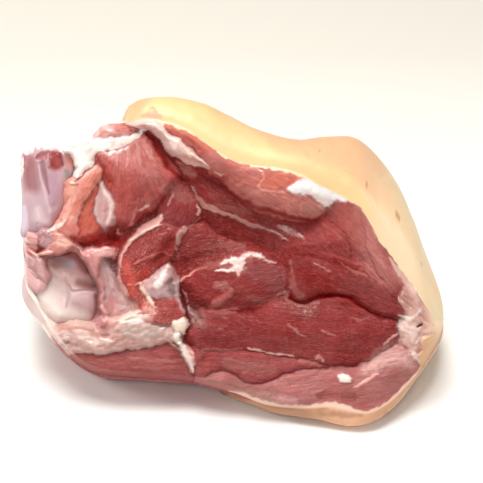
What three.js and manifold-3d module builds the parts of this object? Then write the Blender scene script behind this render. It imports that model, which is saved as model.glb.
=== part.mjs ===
// A ham hock: the knuckle end of a cured leg of pork, lying on its rind with the cut face turned to
// the viewer. The rind wraps the back, the top, the right end and the underside. The cut face shows
// the muscles side by side, and the opened joint at the left end shows the heads of two bones.
//
// Shapes are laid out in the sight frame, in millimetres, as the cut face is seen from in front and
// above:
//   u  across, to the right      v  up in the plane of sight      w  out, towards the viewer
// intoRow() turns that frame into the part's own: +X right, +Y away from the viewer, +Z up, standing
// on Z = 0.

import * as THREE from "three";
import { mergeVertices } from "three/addons/utils/BufferGeometryUtils.js";
import Module from "manifold-3d";

// ---------------------------------------------------------------------------- driving dimensions

const SIGHT_ELEVATION = 36; // degrees above the horizon that the cut face is seen from
const SIGHT_DISTANCE = 650; // from the eye to the middle of the hock: near things look larger
const MIDDLE_HEIGHT = 59.5; // of the sight frame's origin above the table
const ROW_SHIFT = { x: -0.15, y: -13.38 }; // puts the origin under the middle of the hock's box

const LEFT_END = -94; // where the meat ends behind the joint
const RIGHT_END = 95; // where the rind closes round the thin end
const LEFT_ROUNDING = 6; // how long each end takes to close
const RIGHT_ROUNDING = 9;
const END_FULLNESS = 3.2; // 2 would be an elliptical dome, more is blunter

const RIND_STEP = { top: 7, back: 5, bottom: 3 }; // how far the rind stands above bare meat
const RIND_BORDER_SOFTNESS = 9; // the border slopes over this length

// How blunt each turn of a section is: 2 is an ellipse, more is squarer.
const TURN_FULLNESS = { edge: 2.3, upper: 1.9, under: 3, lip: 2.3 };

// How finely the surface is cut: stations along u, and points round each section.
const STATIONS = { left: 8, main: 58, right: 8 };
const RING = { face: 46, edge: 5, top: 8, under: 10, lip: 4 };

// -------------------------------------------------- profiles along the hock, as [u, millimetres]

// The silhouette that the viewer sees, as covered in rind, and how deep it lies.
const TOP_V = [[-90, 50], [-80, 57], [-70, 60.5], [-58, 65], [-50, 67.5], [-45, 71], [-40, 73.3],
  [-30, 74.5], [-12, 71], [0, 65.5], [15, 58.5], [30, 55], [45, 56], [56, 55.5], [65, 48], [75, 34],
  [82, 18], [88, 1], [95, -14]];
const TOP_W = [[-90, -19], [-60, -18], [-38, -12], [-20, -14], [0, -19], [20, -16], [40, -25],
  [55, -34], [70, -41], [80, -38], [88, -30], [95, -20]];
const BOTTOM_V = [[-90, -23], [-80, -38], [-70, -48], [-60, -52.8], [-40, -54.8], [-20, -56.6],
  [0, -61.5], [20, -68], [40, -71.5], [55, -74], [65, -71], [75, -63], [85, -50], [95, -38]];
const BOTTOM_W = [[-90, -30], [-80, -26], [-70, -23], [-55, -20], [-20, -15], [0, -9], [20, -3],
  [40, 2], [55, 4], [65, 2], [75, -4], [85, -12], [95, -20]];
const BACK_V = [[-90, 10], [-60, 4], [-30, 2], [0, 2], [30, 2], [50, 0], [70, -8], [82, -15],
  [95, -26]];
const BACK_W = [[-90, -46], [-60, -58], [-30, -64], [0, -69], [30, -73], [50, -74], [70, -69],
  [82, -59], [95, -38]];

// Where the cut face ends, above and below, and how far out that edge stands.
const RIM_TOP_V = [[-90, 42], [-76, 50], [-62, 57], [-48, 62], [-33, 65], [-20, 60], [-10, 53],
  [0, 46.5], [10, 44], [20, 43], [30, 40.5], [40, 35], [50, 30], [56, 26.5], [60, 22.5], [63.5, 16],
  [66, 10.5], [70, 5.5], [76, -4.5], [84, -14.5], [90, -25], [95, -27]];
const RIM_TOP_W = [[-90, -6], [-70, -4], [-50, 0], [-33, 4], [-20, 6], [0, 8], [20, 9], [40, 9],
  [55, 7], [65, 5], [75, 3], [85, 1], [95, -6]];
const RIM_BOTTOM_V = [[-90, -18], [-80, -34], [-70, -45], [-60, -50], [-40, -52.2], [-20, -53.8],
  [0, -58.5], [15, -64], [30, -65.5], [45, -65], [60, -68], [70, -63.5], [80, -54], [88, -44],
  [95, -33]];
const RIM_BOTTOM_W = [[-90, -12], [-75, -13], [-60, -12], [-40, -8], [-20, -6], [0, -2], [20, 2],
  [40, 6], [55, 8], [65, 7], [75, 3], [85, -1], [95, -8]];

// The width over which the cut face meets its edge: broad round the thin end, where it slopes away.
const FACE_BLEND = [[-95, 4], [30, 4], [38, 6], [46, 14], [56, 20], [64, 20], [76, 14], [95, 6]];

// The rind's left border, as [share of the way round from the upper rim to the lower, u].
const RIND_BORDER = [[0, -46], [0.2, -48], [0.5, -68], [0.8, -30], [0.88, 2], [1, 10]];

// ---------------------------------------------------------------------------------- the cut face

// Each strand is a muscle, tendon or ligament that runs along its own path of [u, v, w, half
// width]. Its belly stands that far above its edges, and past its edges the surface falls steeply
// to what lies beneath.
const STRANDS = [
  // the upper left: the fan of muscle over the joint, and what frames it
  { name: "fan", belly: 5, path: [[-51, 52, 1, 9], [-47, 43, 6, 13], [-44, 33, 4, 12],
    [-42, 26, 1, 9]] },
  { name: "top_lump", belly: 3, path: [[-61, 58, -9, 4], [-54, 59, -8, 5], [-46, 60, -6, 4]] },
  { name: "white_band", belly: 2, path: [[-73, 36, 0, 3], [-68, 43, 2, 4], [-62, 50, 3, 4],
    [-54, 53, 3.5, 3.5], [-46, 55, 4, 3]] },
  { name: "flap", belly: 3, path: [[-58, 42, 5, 3], [-64, 36, 5, 5], [-69, 29, 4, 5.5],
    [-72, 23, 2, 5], [-76, 18, 0, 4]] },
  { name: "teardrop", belly: 2.5, path: [[-58.5, 33, 2, 2.5], [-57.5, 27, 4, 5], [-57, 20, 4, 5]] },
  { name: "knot", belly: 3, path: [[-88, 10, -5, 4], [-82, 9, -2, 4.5], [-76, 8, 0, 4.5],
    [-71, 7, -1, 3]] },

  // along the top: the tendon, and the long muscle under the rind that ends in a rolled lobe
  { name: "tendon", belly: 2, path: [[-40, 62, 3, 3], [-34, 62, 6, 4], [-29, 57, 8, 4.5],
    [-25, 51.5, 9, 4.5], [-20, 47.5, 9, 4], [-14, 44.5, 8, 2.5]] },
  { name: "long_top", belly: 5, path: [[-29, 61, 2, 3], [-20, 55, 6, 6], [-10, 47, 8, 7.5],
    [0, 40, 9, 8.5], [10, 35, 10, 9.5], [20, 32, 11, 10.5], [30, 29.5, 11, 10.5],
    [36, 28, 10, 8]] },
  { name: "long_under", belly: 3, path: [[-33, 54, -3, 3], [-28, 46, -2, 5], [-20, 38, -1, 7],
    [-12, 32, 0, 8], [-2, 27, 0, 8], [8, 22, 0, 6], [18, 17, 0, 6], [30, 15, 1, 7],
    [42, 14, 2, 8]] },
  { name: "band", belly: 3, path: [[-13, 20, -2, 2.5], [-6, 17, -1, 5], [2, 14, 0, 6],
    [10, 11, 0, 6.5], [18, 8, 0, 7], [26, 7, 1, 8]] },
  { name: "upper_right", belly: 5, path: [[30, 10, 2, 12], [44, 12, 4, 15], [56, 8, 5, 14],
    [66, 0, 4, 11], [72, -9, 3, 8], [76, -17, 2, 5]] },

  // the middle, from the joint to the right
  { name: "round", belly: 3, path: [[-25, 31, 0, 6], [-24, 24, 2, 9], [-22, 18, 1, 7]] },
  { name: "behind_round", belly: 2, path: [[-44, 20, -2, 6], [-38, 23, -1, 7], [-34, 28, -1, 5]] },
  { name: "crescent", belly: 4, path: [[-34, 14, 2, 6], [-40, 6, 4, 9], [-43, -3, 4, 8],
    [-43, -11, 2, 6]] },
  { name: "wedge", belly: 3, path: [[-22, -1, -2, 4], [-18, 5, 0, 7], [-10, 6, 1, 7], [-2, 7, 0, 5],
    [4, 7, -1, 3]] },
  { name: "centre", belly: 6, path: [[-14, -12, 2, 9], [-5, -10, 5, 13], [5, -9, 6, 14],
    [14, -9, 6, 12]] },
  { name: "right_flap", belly: 4, path: [[34, -7, 6, 10], [42, -6, 7, 9], [50, -9, 7, 8],
    [60, -14, 6, 7.5], [68, -19, 4, 5], [73, -22, 3, 2.5]] },
  { name: "gristle_knob", belly: 4, path: [[-31, -5, 3, 4], [-31, -11, 5, 7], [-29, -14, 4, 5]] },
  { name: "red_lump", belly: 3, path: [[-35, -21, 2, 4], [-29, -21.5, 3, 5], [-25, -22, 2, 3.5]] },

  // the lower part
  { name: "lower_big", belly: 5, path: [[-8, -32, 2, 6], [5, -31, 4, 8], [20, -31, 5, 10.5],
    [35, -31, 6, 13], [48, -31, 6.5, 15], [60, -32, 6, 11], [68, -33, 4, 6]] },
  { name: "lower_lobe", belly: 3, path: [[-12, -44, 1, 4], [-4, -44.5, 3, 4.5], [5, -46, 4.5, 6],
    [14, -46, 4.5, 5], [24, -46, 4, 3.5]] },
  { name: "bottom_right", belly: 4, path: [[0, -56, 0, 5], [12, -58, 3, 6.5], [25, -57, 5, 8],
    [40, -56, 7, 9.5], [55, -56, 8, 11], [68, -51, 7, 12], [76, -49, 5, 8]] },
  { name: "bottom_left", belly: 5, path: [[-74, -44, -8, 3], [-66, -46, -4, 6], [-55, -47, -1, 7.5],
    [-42, -46, 0, 8.5], [-30, -46, 0, 9], [-20, -47, 0, 8.5], [-8, -52, 0, 6]] },
  { name: "ledge", belly: 2.5, path: [[-86, -30, -10, 3], [-80, -33, -6, 4], [-72, -35, -2, 5.5],
    [-62, -36, 1, 4.5], [-54, -34, 3, 5.5], [-44, -31.5, 4, 6.5], [-34, -31.5, 5, 4.5],
    [-24, -29.5, 6, 4.5]] },
  { name: "end_gristle", belly: 2, path: [[82, -17, 2, 3], [80, -23, 3, 5.5], [79, -30, 3.5, 6],
    [82, -37, 3, 5]] },
];

const STRAND_WALL = 1.2; // millimetres that the surface falls per millimetre past a strand's edge
const STRAND_MERGE = 1.0; // neighbouring strands round into each other over this height
const SMOOTH_STEPS = 5; // straight pieces that each stretch of a path is drawn with

// The bed that the strands lie in: shallow under the muscles, deep round the joint.
const BED_LEVEL = -4;
const BED_JOINT_LEVEL = -15;
const BED_JOINT_FROM = -60; // u where the bed starts to drop towards the joint
const BED_JOINT_TO = -72;

// The long cleft that opens under the right-hand flap: [u, v, depth, half width].
const CLEFT = [[27, -17, 3, 3], [33, -19, 5, 4], [40, -16, 6, 4], [50, -16.5, 6, 4],
  [58, -21, 5, 4], [68, -25.5, 3, 3]];

// ------------------------------------------------------------ the bone heads in the opened joint

const BONE_PARTS = { around: 26, down: 15 };
const BONE_GAP = 0.45; // between a bone and its seat in the meat
const BONES = [
  {
    name: "upper_joint_bone", // a pulley: two ridges with a groove between them
    centre: [-81, 32, -15], half: [13.5, 24, 15], fullness: 3,
    relief: (u, v) =>
      -4.5 * Math.exp(-(((u + 84 - 0.12 * (v - 32)) / 3.2) ** 2))
      - 3 * ((v - 30) / 24) ** 2,
  },
  {
    name: "lower_joint_bone", // a shallow cup with a rounded lobe in it
    centre: [-72, -12.5, -17], half: [22.5, 17.5, 13.5], fullness: 3,
    relief: (u, v) =>
      -6.5 * Math.exp(-(((u + 72) / 12) ** 2) - ((v + 6) / 9) ** 2)
      + 3.5 * Math.exp(-(((u + 67) / 6) ** 2) - ((v + 19) / 5.5) ** 2),
  },
];

// --------------------------------------------------------------------------------------- helpers

const DEGREE = Math.PI / 180;
const mix = (a, b, t) => a + (b - a) * t;
const clamp = (t, low = 0, high = 1) => Math.min(high, Math.max(low, t));
const smoothstep = (from, to, x) => {
  const t = clamp((x - from) / (to - from));
  return t * t * (3 - 2 * t);
};

// A smooth curve through rows of numbers whose first number is where they lie; gives the rest of
// the row at x.
function smoothRow(rows, x) {
  const last = rows.length - 1;
  if (x <= rows[0][0]) return rows[0].slice(1);
  if (x >= rows[last][0]) return rows[last].slice(1);
  let i = 0;
  while (x > rows[i + 1][0]) i += 1;
  const t = (x - rows[i][0]) / (rows[i + 1][0] - rows[i][0]);
  return rows[i].slice(1).map((_, k) => hermite(rows, i, t, k + 1));
}

// The value of column k on the stretch from row i to the next one, with each row's slope taken from
// its neighbours.
function hermite(rows, i, t, k) {
  const slope = (j) => {
    const a = rows[Math.max(0, j - 1)];
    const b = rows[Math.min(rows.length - 1, j + 1)];
    return (b[k] - a[k]) / (b[0] - a[0]);
  };
  const length = rows[i + 1][0] - rows[i][0];
  const t2 = t * t;
  const t3 = t2 * t;
  return (2 * t3 - 3 * t2 + 1) * rows[i][k] + (t3 - 2 * t2 + t) * length * slope(i)
    + (3 * t2 - 2 * t3) * rows[i + 1][k] + (t3 - t2) * length * slope(i + 1);
}

const profile = (rows, u) => smoothRow(rows, u)[0];

// A path's points, joined by a smooth line of short straight pieces.
function smoothPath(points) {
  const rows = points.map((point, i) => [i, ...point]);
  const count = (points.length - 1) * SMOOTH_STEPS;
  return Array.from({ length: count + 1 }, (_, i) => smoothRow(rows, i / SMOOTH_STEPS));
}

// The nearest place on a path, measured in the path's own half widths: [share of the half width,
// third number, half width].
function nearestOn(path, u, v) {
  let best = [Infinity, 0, 1];
  for (let i = 0; i + 1 < path.length; i += 1) {
    const [u0, v0, w0, r0] = path[i];
    const [u1, v1, w1, r1] = path[i + 1];
    const du = u1 - u0;
    const dv = v1 - v0;
    const t = clamp(((u - u0) * du + (v - v0) * dv) / (du * du + dv * dv));
    const half = mix(r0, r1, t);
    const share = Math.hypot(u - u0 - t * du, v - v0 - t * dv) / half;
    if (share < best[0]) best = [share, mix(w0, w1, t), half];
  }
  return best;
}

// ------------------------------------------------------------------------- the cut face's height

const strandPaths = STRANDS.map((strand) => ({ ...strand, path: smoothPath(strand.path) }));
const cleftPath = smoothPath(CLEFT);

function strandHeight(strand, u, v) {
  const [share, level, half] = nearestOn(strand.path, u, v);
  if (share >= 1) return level - strand.belly - (share - 1) * half * STRAND_WALL;
  return level - strand.belly * share ** 2;
}

// How far out the cut face stands at (u, v).
function faceHeight(u, v) {
  const bed = mix(BED_LEVEL, BED_JOINT_LEVEL, smoothstep(BED_JOINT_FROM, BED_JOINT_TO, u));
  let height = bed;
  for (const strand of strandPaths) {
    const other = strandHeight(strand, u, v);
    const overlap = clamp(0.5 + (other - height) / (2 * STRAND_MERGE));
    height = mix(height, other, overlap) + STRAND_MERGE * overlap * (1 - overlap);
  }
  const [share, depth] = nearestOn(cleftPath, u, v);
  return height - depth * (1 - smoothstep(0, 1, share));
}

// -------------------------------------------------------------------------- sections of the hock

// A quarter turn from one [v, w] point to another, as a blunt ellipse; the first point's side is
// met square on to v.
function quarterTurn(from, to, steps, fullness, alongFirst) {
  return Array.from({ length: steps }, (_, i) => {
    const angle = (i / steps) * 90 * DEGREE;
    const s = Math.sin(angle) ** (2 / fullness);
    const c = 1 - Math.cos(angle) ** (2 / fullness);
    return alongFirst
      ? [mix(from[0], to[0], s), mix(from[1], to[1], c)]
      : [mix(from[0], to[0], c), mix(from[1], to[1], s)];
  });
}

// The closed outline of the hock at u, as [v, w] points: up the cut face, over the top, down the
// back, underneath.
function section(u) {
  const at = (rows) => profile(rows, u);
  const top = [at(TOP_V), at(TOP_W)];
  const back = [at(BACK_V), at(BACK_W)];
  const bottom = [at(BOTTOM_V), at(BOTTOM_W)];
  const rimTop = [at(RIM_TOP_V), at(RIM_TOP_W)];
  const rimBottom = [at(RIM_BOTTOM_V), at(RIM_BOTTOM_W)];

  const blend = at(FACE_BLEND);
  const face = Array.from({ length: RING.face }, (_, i) => {
    const v = mix(rimBottom[0], rimTop[0], i / RING.face);
    const rim = mix(rimBottom[1], rimTop[1], i / RING.face);
    const inwards = Math.min(v - rimBottom[0], rimTop[0] - v);
    return [v, mix(rim, faceHeight(u, v), smoothstep(0, blend, inwards))];
  });
  const skin = [
    ...quarterTurn(rimTop, top, RING.edge, TURN_FULLNESS.edge, true),
    ...quarterTurn(top, back, RING.top, TURN_FULLNESS.upper, false),
    ...quarterTurn(back, bottom, RING.under, TURN_FULLNESS.under, true),
    ...quarterTurn(bottom, rimBottom, RING.lip, TURN_FULLNESS.lip, false),
  ];
  const trimmed = (point, i) => bareWhereTrimmed(point, u, i / skin.length, rimTop, rimBottom);
  return [...face, ...skin.map(trimmed)];
}

// Left of its border the rind is trimmed away, and the surface lies lower by the rind's thickness.
function bareWhereTrimmed([v, w], u, share, rimTop, rimBottom) {
  const border = profile(RIND_BORDER, share);
  const bare = 1 - smoothstep(border - RIND_BORDER_SOFTNESS, border, u);
  const { top, back, bottom } = RIND_STEP;
  const steps = [[0, 0], [0.15, top], [0.5, back], [0.85, bottom], [1, 0]];
  const step = profile(steps, share);
  const centre = [(rimTop[0] + rimBottom[0]) / 2, (rimTop[1] + rimBottom[1]) / 2 - 25];
  const out = [v - centre[0], w - centre[1]];
  const shrink = 1 - (bare * step) / Math.hypot(...out);
  return [centre[0] + out[0] * shrink, centre[1] + out[1] * shrink];
}

// -------------------------------------------------------- from the sight frame to the part's own

function intoRow(u, v, w) {
  const nearness = (SIGHT_DISTANCE - w) / SIGHT_DISTANCE; // keeps a point on its line of sight
  const sin = Math.sin(SIGHT_ELEVATION * DEGREE);
  const cos = Math.cos(SIGHT_ELEVATION * DEGREE);
  return [
    u * nearness + ROW_SHIFT.x,
    v * nearness * sin - w * cos + ROW_SHIFT.y,
    MIDDLE_HEIGHT + v * nearness * cos + w * sin,
  ];
}

// ---------------------------------------------------------------------------- the hock's surface

// Each station's u and how far its section has opened: from a point at one end, through full, to a
// point again.
function stations() {
  const closing = (share) => 1 - (1 - share ** END_FULLNESS) ** (1 / END_FULLNESS);
  const left = Array.from({ length: STATIONS.left - 1 }, (_, i) => {
    const share = (i + 1) / STATIONS.left;
    return { u: LEFT_END + LEFT_ROUNDING * closing(share), share };
  });
  const main = Array.from({ length: STATIONS.main + 1 }, (_, i) => ({
    u: mix(LEFT_END + LEFT_ROUNDING, RIGHT_END - RIGHT_ROUNDING, i / STATIONS.main),
    share: 1,
  }));
  const right = Array.from({ length: STATIONS.right - 1 }, (_, i) => {
    const share = (STATIONS.right - 1 - i) / STATIONS.right;
    return { u: RIGHT_END - RIGHT_ROUNDING * closing(share), share };
  });
  return [...left, ...main, ...right];
}

// Where a section closes to at the ends: half way from top to bottom and from the back to the cut
// face.
function middleOf(u) {
  const half = (rows, other) => (profile(rows, u) + profile(other, u)) / 2;
  return [half(TOP_V, BOTTOM_V), half(BACK_W, RIM_TOP_W)];
}

function hockGeometry() {
  const rings = stations().map(({ u, share }) => {
    const outline = section(u);
    const middle = middleOf(u);
    const points = outline.map((point) => point.map((x, k) => mix(middle[k], x, share)));
    return { u, middle, points };
  });
  const onTable = ([x, y, z]) => [x, y, Math.max(0, z)]; // the hock's weight flattens its underside
  const count = rings[0].points.length;
  const placed = ({ u, points }) => points.map(([v, w]) => onTable(intoRow(u, v, w)));
  const vertices = rings.flatMap(placed);
  const first = rings[0];
  const last = rings[rings.length - 1];
  const leftTip = vertices.push(intoRow(LEFT_END, ...first.middle)) - 1;
  const rightTip = vertices.push(intoRow(RIGHT_END, ...last.middle)) - 1;

  const triangles = [];
  for (let j = 0; j < count; j += 1) {
    const next = (j + 1) % count;
    triangles.push([leftTip, j, next]);
    for (let i = 0; i + 1 < rings.length; i += 1) {
      const a = i * count + j;
      const b = i * count + next;
      triangles.push([a, b + count, b], [a, a + count, b + count]);
    }
    const lastRing = (rings.length - 1) * count;
    triangles.push([rightTip, lastRing + next, lastRing + j]);
  }
  return closedGeometry(vertices, triangles);
}

function closedGeometry(vertices, triangles) {
  const geometry = new THREE.BufferGeometry();
  geometry.setAttribute("position", new THREE.Float32BufferAttribute(vertices.flat(), 3));
  geometry.setIndex(triangles.flat());
  return geometry;
}

// ----------------------------------------------------------------------------------- a bone head

// A blunt ellipsoid whose front is shaped by the bone's relief. swell makes it larger all round,
// for its seat.
function boneGeometry(bone, swell = 0) {
  const ball = new THREE.SphereGeometry(1, BONE_PARTS.around, BONE_PARTS.down);
  ball.deleteAttribute("normal");
  ball.deleteAttribute("uv");
  const geometry = mergeVertices(ball, 1e-4);
  const position = geometry.getAttribute("position");
  for (let i = 0; i < position.count; i += 1) {
    const unit = [position.getX(i), position.getY(i), position.getZ(i)];
    const total = unit.reduce((sum, x) => sum + Math.abs(x) ** bone.fullness, 0);
    const blunt = total ** (-1 / bone.fullness);
    const [u, v, w] = unit.map((x, k) => bone.centre[k] + x * blunt * (bone.half[k] + swell));
    const front = smoothstep(0, 0.6, unit[2] * blunt);
    position.setXYZ(i, ...intoRow(u, v, w + front * bone.relief(u, v)));
  }
  return geometry;
}

// ---------------------------------------------------------------------------------------- solids

const wasm = await Module();
wasm.setup();

function solidOf(geometry) {
  const merged = mergeVertices(geometry, 1e-4);
  return new wasm.Manifold(new wasm.Mesh({
    numProp: 3,
    vertProperties: merged.getAttribute("position").array,
    triVerts: new Uint32Array(merged.index.array),
  }));
}

function geometryOf(solid) {
  const mesh = solid.getMesh();
  const geometry = new THREE.BufferGeometry();
  geometry.setAttribute("position", new THREE.BufferAttribute(mesh.vertProperties, 3));
  geometry.setIndex(new THREE.BufferAttribute(mesh.triVerts, 1));
  geometry.computeVertexNormals();
  return geometry;
}

// The meat with a seat cut for each bone, and without the crumbs that the cuts leave.
function seatedMeat() {
  const seats = BONES.map((bone) => solidOf(boneGeometry(bone, BONE_GAP)));
  const cut = seats.reduce((solid, seat) => solid.subtract(seat), solidOf(hockGeometry()));
  return cut.decompose().sort((a, b) => b.volume() - a.volume())[0];
}

// -------------------------------------------------------------------------------------- the hock

const meatMaterial = new THREE.MeshStandardMaterial({
  color: 0xa8504c, // moist red-pink cured meat
  roughness: 0.4,
  metalness: 0,
});
const boneMaterial = new THREE.MeshStandardMaterial({
  color: 0xe0c8c6, // wet pink-white cartilage
  roughness: 0.3,
  metalness: 0,
});

const hock = new THREE.Group();
hock.name = "ham_hock";

const meat = new THREE.Mesh(geometryOf(seatedMeat()), meatMaterial);
meat.name = "meat_and_rind";
hock.add(meat);

for (const bone of BONES) {
  const mesh = new THREE.Mesh(geometryOf(solidOf(boneGeometry(bone))), boneMaterial);
  mesh.name = bone.name;
  hock.add(mesh);
}

export default hock;
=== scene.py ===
"""Looks for a cured ham hock: the cut face with its muscles, the rind round it and the opened joint.

Shapes are laid out in the sight frame, in millimetres, the way the cut face is seen from in front and above:
u runs across to the right, v up in the plane of sight, and w out, towards the viewer.
"""

import math
from typing import NamedTuple

import bpy
import numpy as np
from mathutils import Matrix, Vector


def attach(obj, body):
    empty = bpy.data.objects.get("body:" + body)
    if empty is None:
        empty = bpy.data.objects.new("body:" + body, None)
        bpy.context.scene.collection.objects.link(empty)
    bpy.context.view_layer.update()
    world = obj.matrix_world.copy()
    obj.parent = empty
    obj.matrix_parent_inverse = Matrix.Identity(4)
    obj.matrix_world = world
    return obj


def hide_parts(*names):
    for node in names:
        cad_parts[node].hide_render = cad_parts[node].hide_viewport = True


bl_info = {
    "name": "Ham Hock",
    "version": (1, 0, 0),
    "blender": (4, 5, 0),
    "location": "View3D > Sidebar > Ham Hock",
    "description": "Builds a cured ham hock with its cut face, rind and opened joint",
    "category": "Add Mesh",
}

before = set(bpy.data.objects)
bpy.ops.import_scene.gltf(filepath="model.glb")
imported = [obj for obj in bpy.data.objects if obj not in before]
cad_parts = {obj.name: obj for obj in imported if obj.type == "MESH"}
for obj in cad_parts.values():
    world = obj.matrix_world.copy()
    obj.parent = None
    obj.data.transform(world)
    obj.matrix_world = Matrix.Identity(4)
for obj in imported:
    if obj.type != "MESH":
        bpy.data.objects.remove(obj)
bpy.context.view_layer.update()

MM = 0.001
SIGHT_ELEVATION = math.radians(36)  # the cut face is seen from this far above the horizon
SIGHT_DISTANCE = 650  # from the eye to the middle of the hock
MIDDLE_HEIGHT = 59.5  # of the sight frame's origin above the table
ROW_SHIFT = (-0.15, -13.38)  # puts the part's origin under the middle of its box
TINY = 1e-12  # keeps a division by nothing away
FAR_OFF = 1e9
SCRAMBLE = (127.1, 311.7, 74.7, 43758.5453)  # multipliers that turn a place and a seed into a random number
ROUGH_LAYERS = ((1, 1), (0.5, 2.1), (0.25, 4.3))  # share of each layer of noise, and how much finer it is


class Lobe(NamedTuple):
    """A muscle, or a mass of fat or sinew, that swells out of the cut face. Lengths are in millimetres."""
    at: list  # closed outline of (u, v) points
    level: float  # how far out its edge stands
    rise: float  # how far it comes up from that edge within its rounding
    rounding: float
    crown: float  # how much its middle swells
    grain: object  # the way its fibres run: an angle in degrees, or a point they fan out from
    tone: float = 0  # of its flesh, from 0 (dark) to 1 (pale)
    warmth: float = 0  # of its flesh, from 0 (purplish) to 1 (orange)
    tissue: str = ""  # its colour, when it isn't muscle
    calm: float = 1  # how lumpy and stained fat or sinew is
    specks: float = 0.2  # how many pale specks, painted glints of wetness, show on it
    merge: float = 0.8  # how far it runs into what it meets
    step: float = 0.34  # share of its rise that its rounded edge makes
    fall: float = 1.8  # how steeply it falls away past its outline
    sinks: tuple = ()  # the u from which it sinks away, and how steeply


class Mark(NamedTuple):
    """A stroke laid over a surface, later ones over earlier ones."""
    at: list  # its line of (u, v, half width) points
    colour: str
    cover: float  # how strongly it covers
    ragged: float  # how ragged its edge is
    rise: float = 0  # how far it stands up, or sinks
    tissue: float = 0  # 0 muscle, 1 fat or sinew
    soft: float = 0.42  # how far its edge fades, as a share of its half width
    specks: float = 0.2  # how many pale specks, painted glints of wetness, show on it


class Bone(NamedTuple):
    """A bone head: how its front lies in the joint, and its marks."""
    at: list  # closed outline of (u, v) points
    centre: tuple
    level: float  # how far out its middle stands
    rounding: float  # the higher, the nearer to its edge it turns away
    tint: str  # the setting that holds its colour
    marks: list


# ---------------------------------------------------------------- the body's profiles

# Rows of [u, millimetres]: where the skin's top, back and bottom and the cut face's rims lie in v and in w.

LEFT_END = -94
RIGHT_END = 95
LEFT_ROUNDING = 6
RIGHT_ROUNDING = 9
END_FULLNESS = 3.2
TIP_PAST_END = 0.2
TURNS = {  # points round each turn of the skin, and how blunt it is (2 is an ellipse)
    "edge": (16, 2.3),
    "upper": (30, 1.9),
    "under": (36, 3),
    "lip": (12, 2.3),
}

TOP_V = [[-90, 50], [-80, 57], [-70, 60.5], [-58, 65], [-50, 67.5], [-45, 71], [-40, 73.3], [-30, 74.5],
         [-12, 71], [0, 65.5], [15, 58.5], [30, 55], [45, 56], [56, 55.5], [65, 48], [75, 34], [82, 18],
         [88, 1], [95, -14]]
TOP_W = [[-90, -19], [-60, -18], [-38, -12], [-20, -14], [0, -19], [20, -16], [40, -25], [55, -34],
         [70, -41], [80, -38], [88, -30], [95, -20]]
BOTTOM_V = [[-90, -23], [-80, -38], [-70, -48], [-60, -52.8], [-40, -54.8], [-20, -56.6], [0, -61.5],
            [20, -68], [40, -71.5], [55, -74], [65, -71], [75, -63], [85, -50], [95, -38]]
BOTTOM_W = [[-90, -30], [-80, -26], [-70, -23], [-55, -20], [-20, -15], [0, -9], [20, -3], [40, 2], [55, 4],
            [65, 2], [75, -4], [85, -12], [95, -20]]
BACK_V = [[-90, 10], [-60, 4], [-30, 2], [0, 2], [30, 2], [50, 0], [70, -8], [82, -15], [95, -26]]
BACK_W = [[-90, -46], [-60, -58], [-30, -64], [0, -69], [30, -73], [50, -74], [70, -69], [82, -59],
          [95, -38]]
RIM_TOP_V = [[-90, 43], [-84, 47], [-78, 52], [-70, 54], [-64, 56], [-60.5, 60], [-58, 62.2], [-50, 62.8],
             [-45, 63.6], [-40, 65], [-33, 64.6], [-20, 60], [-10, 53], [0, 46.5], [10, 44], [20, 43],
             [30, 40.5], [40, 35], [50, 30], [56, 26.5], [60, 22.5], [63.5, 16], [66, 10.5], [70, 6],
             [76, -2.8], [84, -13.5], [90, -25], [95, -27]]
RIM_TOP_W = [[-90, -6], [-70, -4], [-50, 0], [-33, 4], [-20, 6], [0, 8], [20, 8.5], [40, 7], [55, 4.5],
             [65, 3], [75, 1.8], [85, 0.5], [95, -6]]
RIM_BOTTOM_V = [[-90, -18], [-80, -34], [-70, -45], [-60, -50], [-40, -52.2], [-20, -53.8], [0, -58.5],
                [15, -64], [30, -65.5], [45, -65], [60, -68], [70, -63.5], [80, -54], [88, -44], [95, -33]]
RIM_BOTTOM_W = [[-90, -12], [-75, -13], [-60, -12], [-40, -8], [-20, -6], [0, -2], [20, 2], [40, 6],
                [55, 8], [65, 7], [75, 3], [85, -1], [95, -8]]

# Over this many millimetres from its rim, the cut face comes up to its own height.
FACE_BLEND = [[-95, 3.5], [30, 3.5], [38, 6], [46, 14], [56, 20], [64, 20], [76, 14], [95, 6]]

# Rind above bare meat, and the u of the border between them; both over the way round from rim to rim, 0 to 1.
RIND_STEP = [[0, 0], [0.15, 7], [0.5, 5], [0.85, 3], [1, 0]]
RIND_BORDER = [[0, -46], [0.2, -48], [0.5, -68], [0.8, -30], [0.88, 2], [1, 10]]
RIND_BORDER_SOFTNESS = 3
SKIN_CENTRE_BACK = 25  # the skin's lumps rise away from a line this far behind the rims
RIM_CALM = 0.05  # share of the way round over which they fade at either rim
BARE_LUMPS = 0.8  # how much stronger they are in bare meat
SKIN_SPECKS = 0.2
LEFT_CAP = (-85, -91)  # u over which the left end turns to its closing cap

# Where the rind folds over the cut face, and how wide the fat is that shows along each rim.
RIND_OVER_FACE = [(83, -7), (88, -7), (98, -20), (98, -36), (92, -50), (84, -56), (81.5, -53.5),
                  (84.5, -48.5), (84, -43.5), (85.6, -40), (85.2, -36.5), (86.8, -33), (88.8, -29),
                  (88.6, -24), (87.8, -18), (85, -12)]
UPPER_FAT_LIP = [[-95, -2], [-37, -2], [-31, 1.2], [-24, 1.6], [-10, 1], [10, 1.4], [30, 1.8], [45, 1.2],
                 [60, 1], [68, 1.4], [80, 1.4], [95, 2]]
LOWER_FAT_LIP = [[-95, 1.5], [-84, 0.5], [-78, -2], [-12, -2], [5, 1.2], [30, 0.9], [48, 1.6], [60, 0.9],
                 [80, 1.2], [95, 2]]
LIP_SOFTNESS = 0.4
FOLD_SOFTNESS = 0.5
FOLD_FRAY = 0.6
FOLD_THICKNESS = 3
FOLD_DARKENS_V = (-26, -40)  # where the folded rind turns from pale to tan

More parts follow.
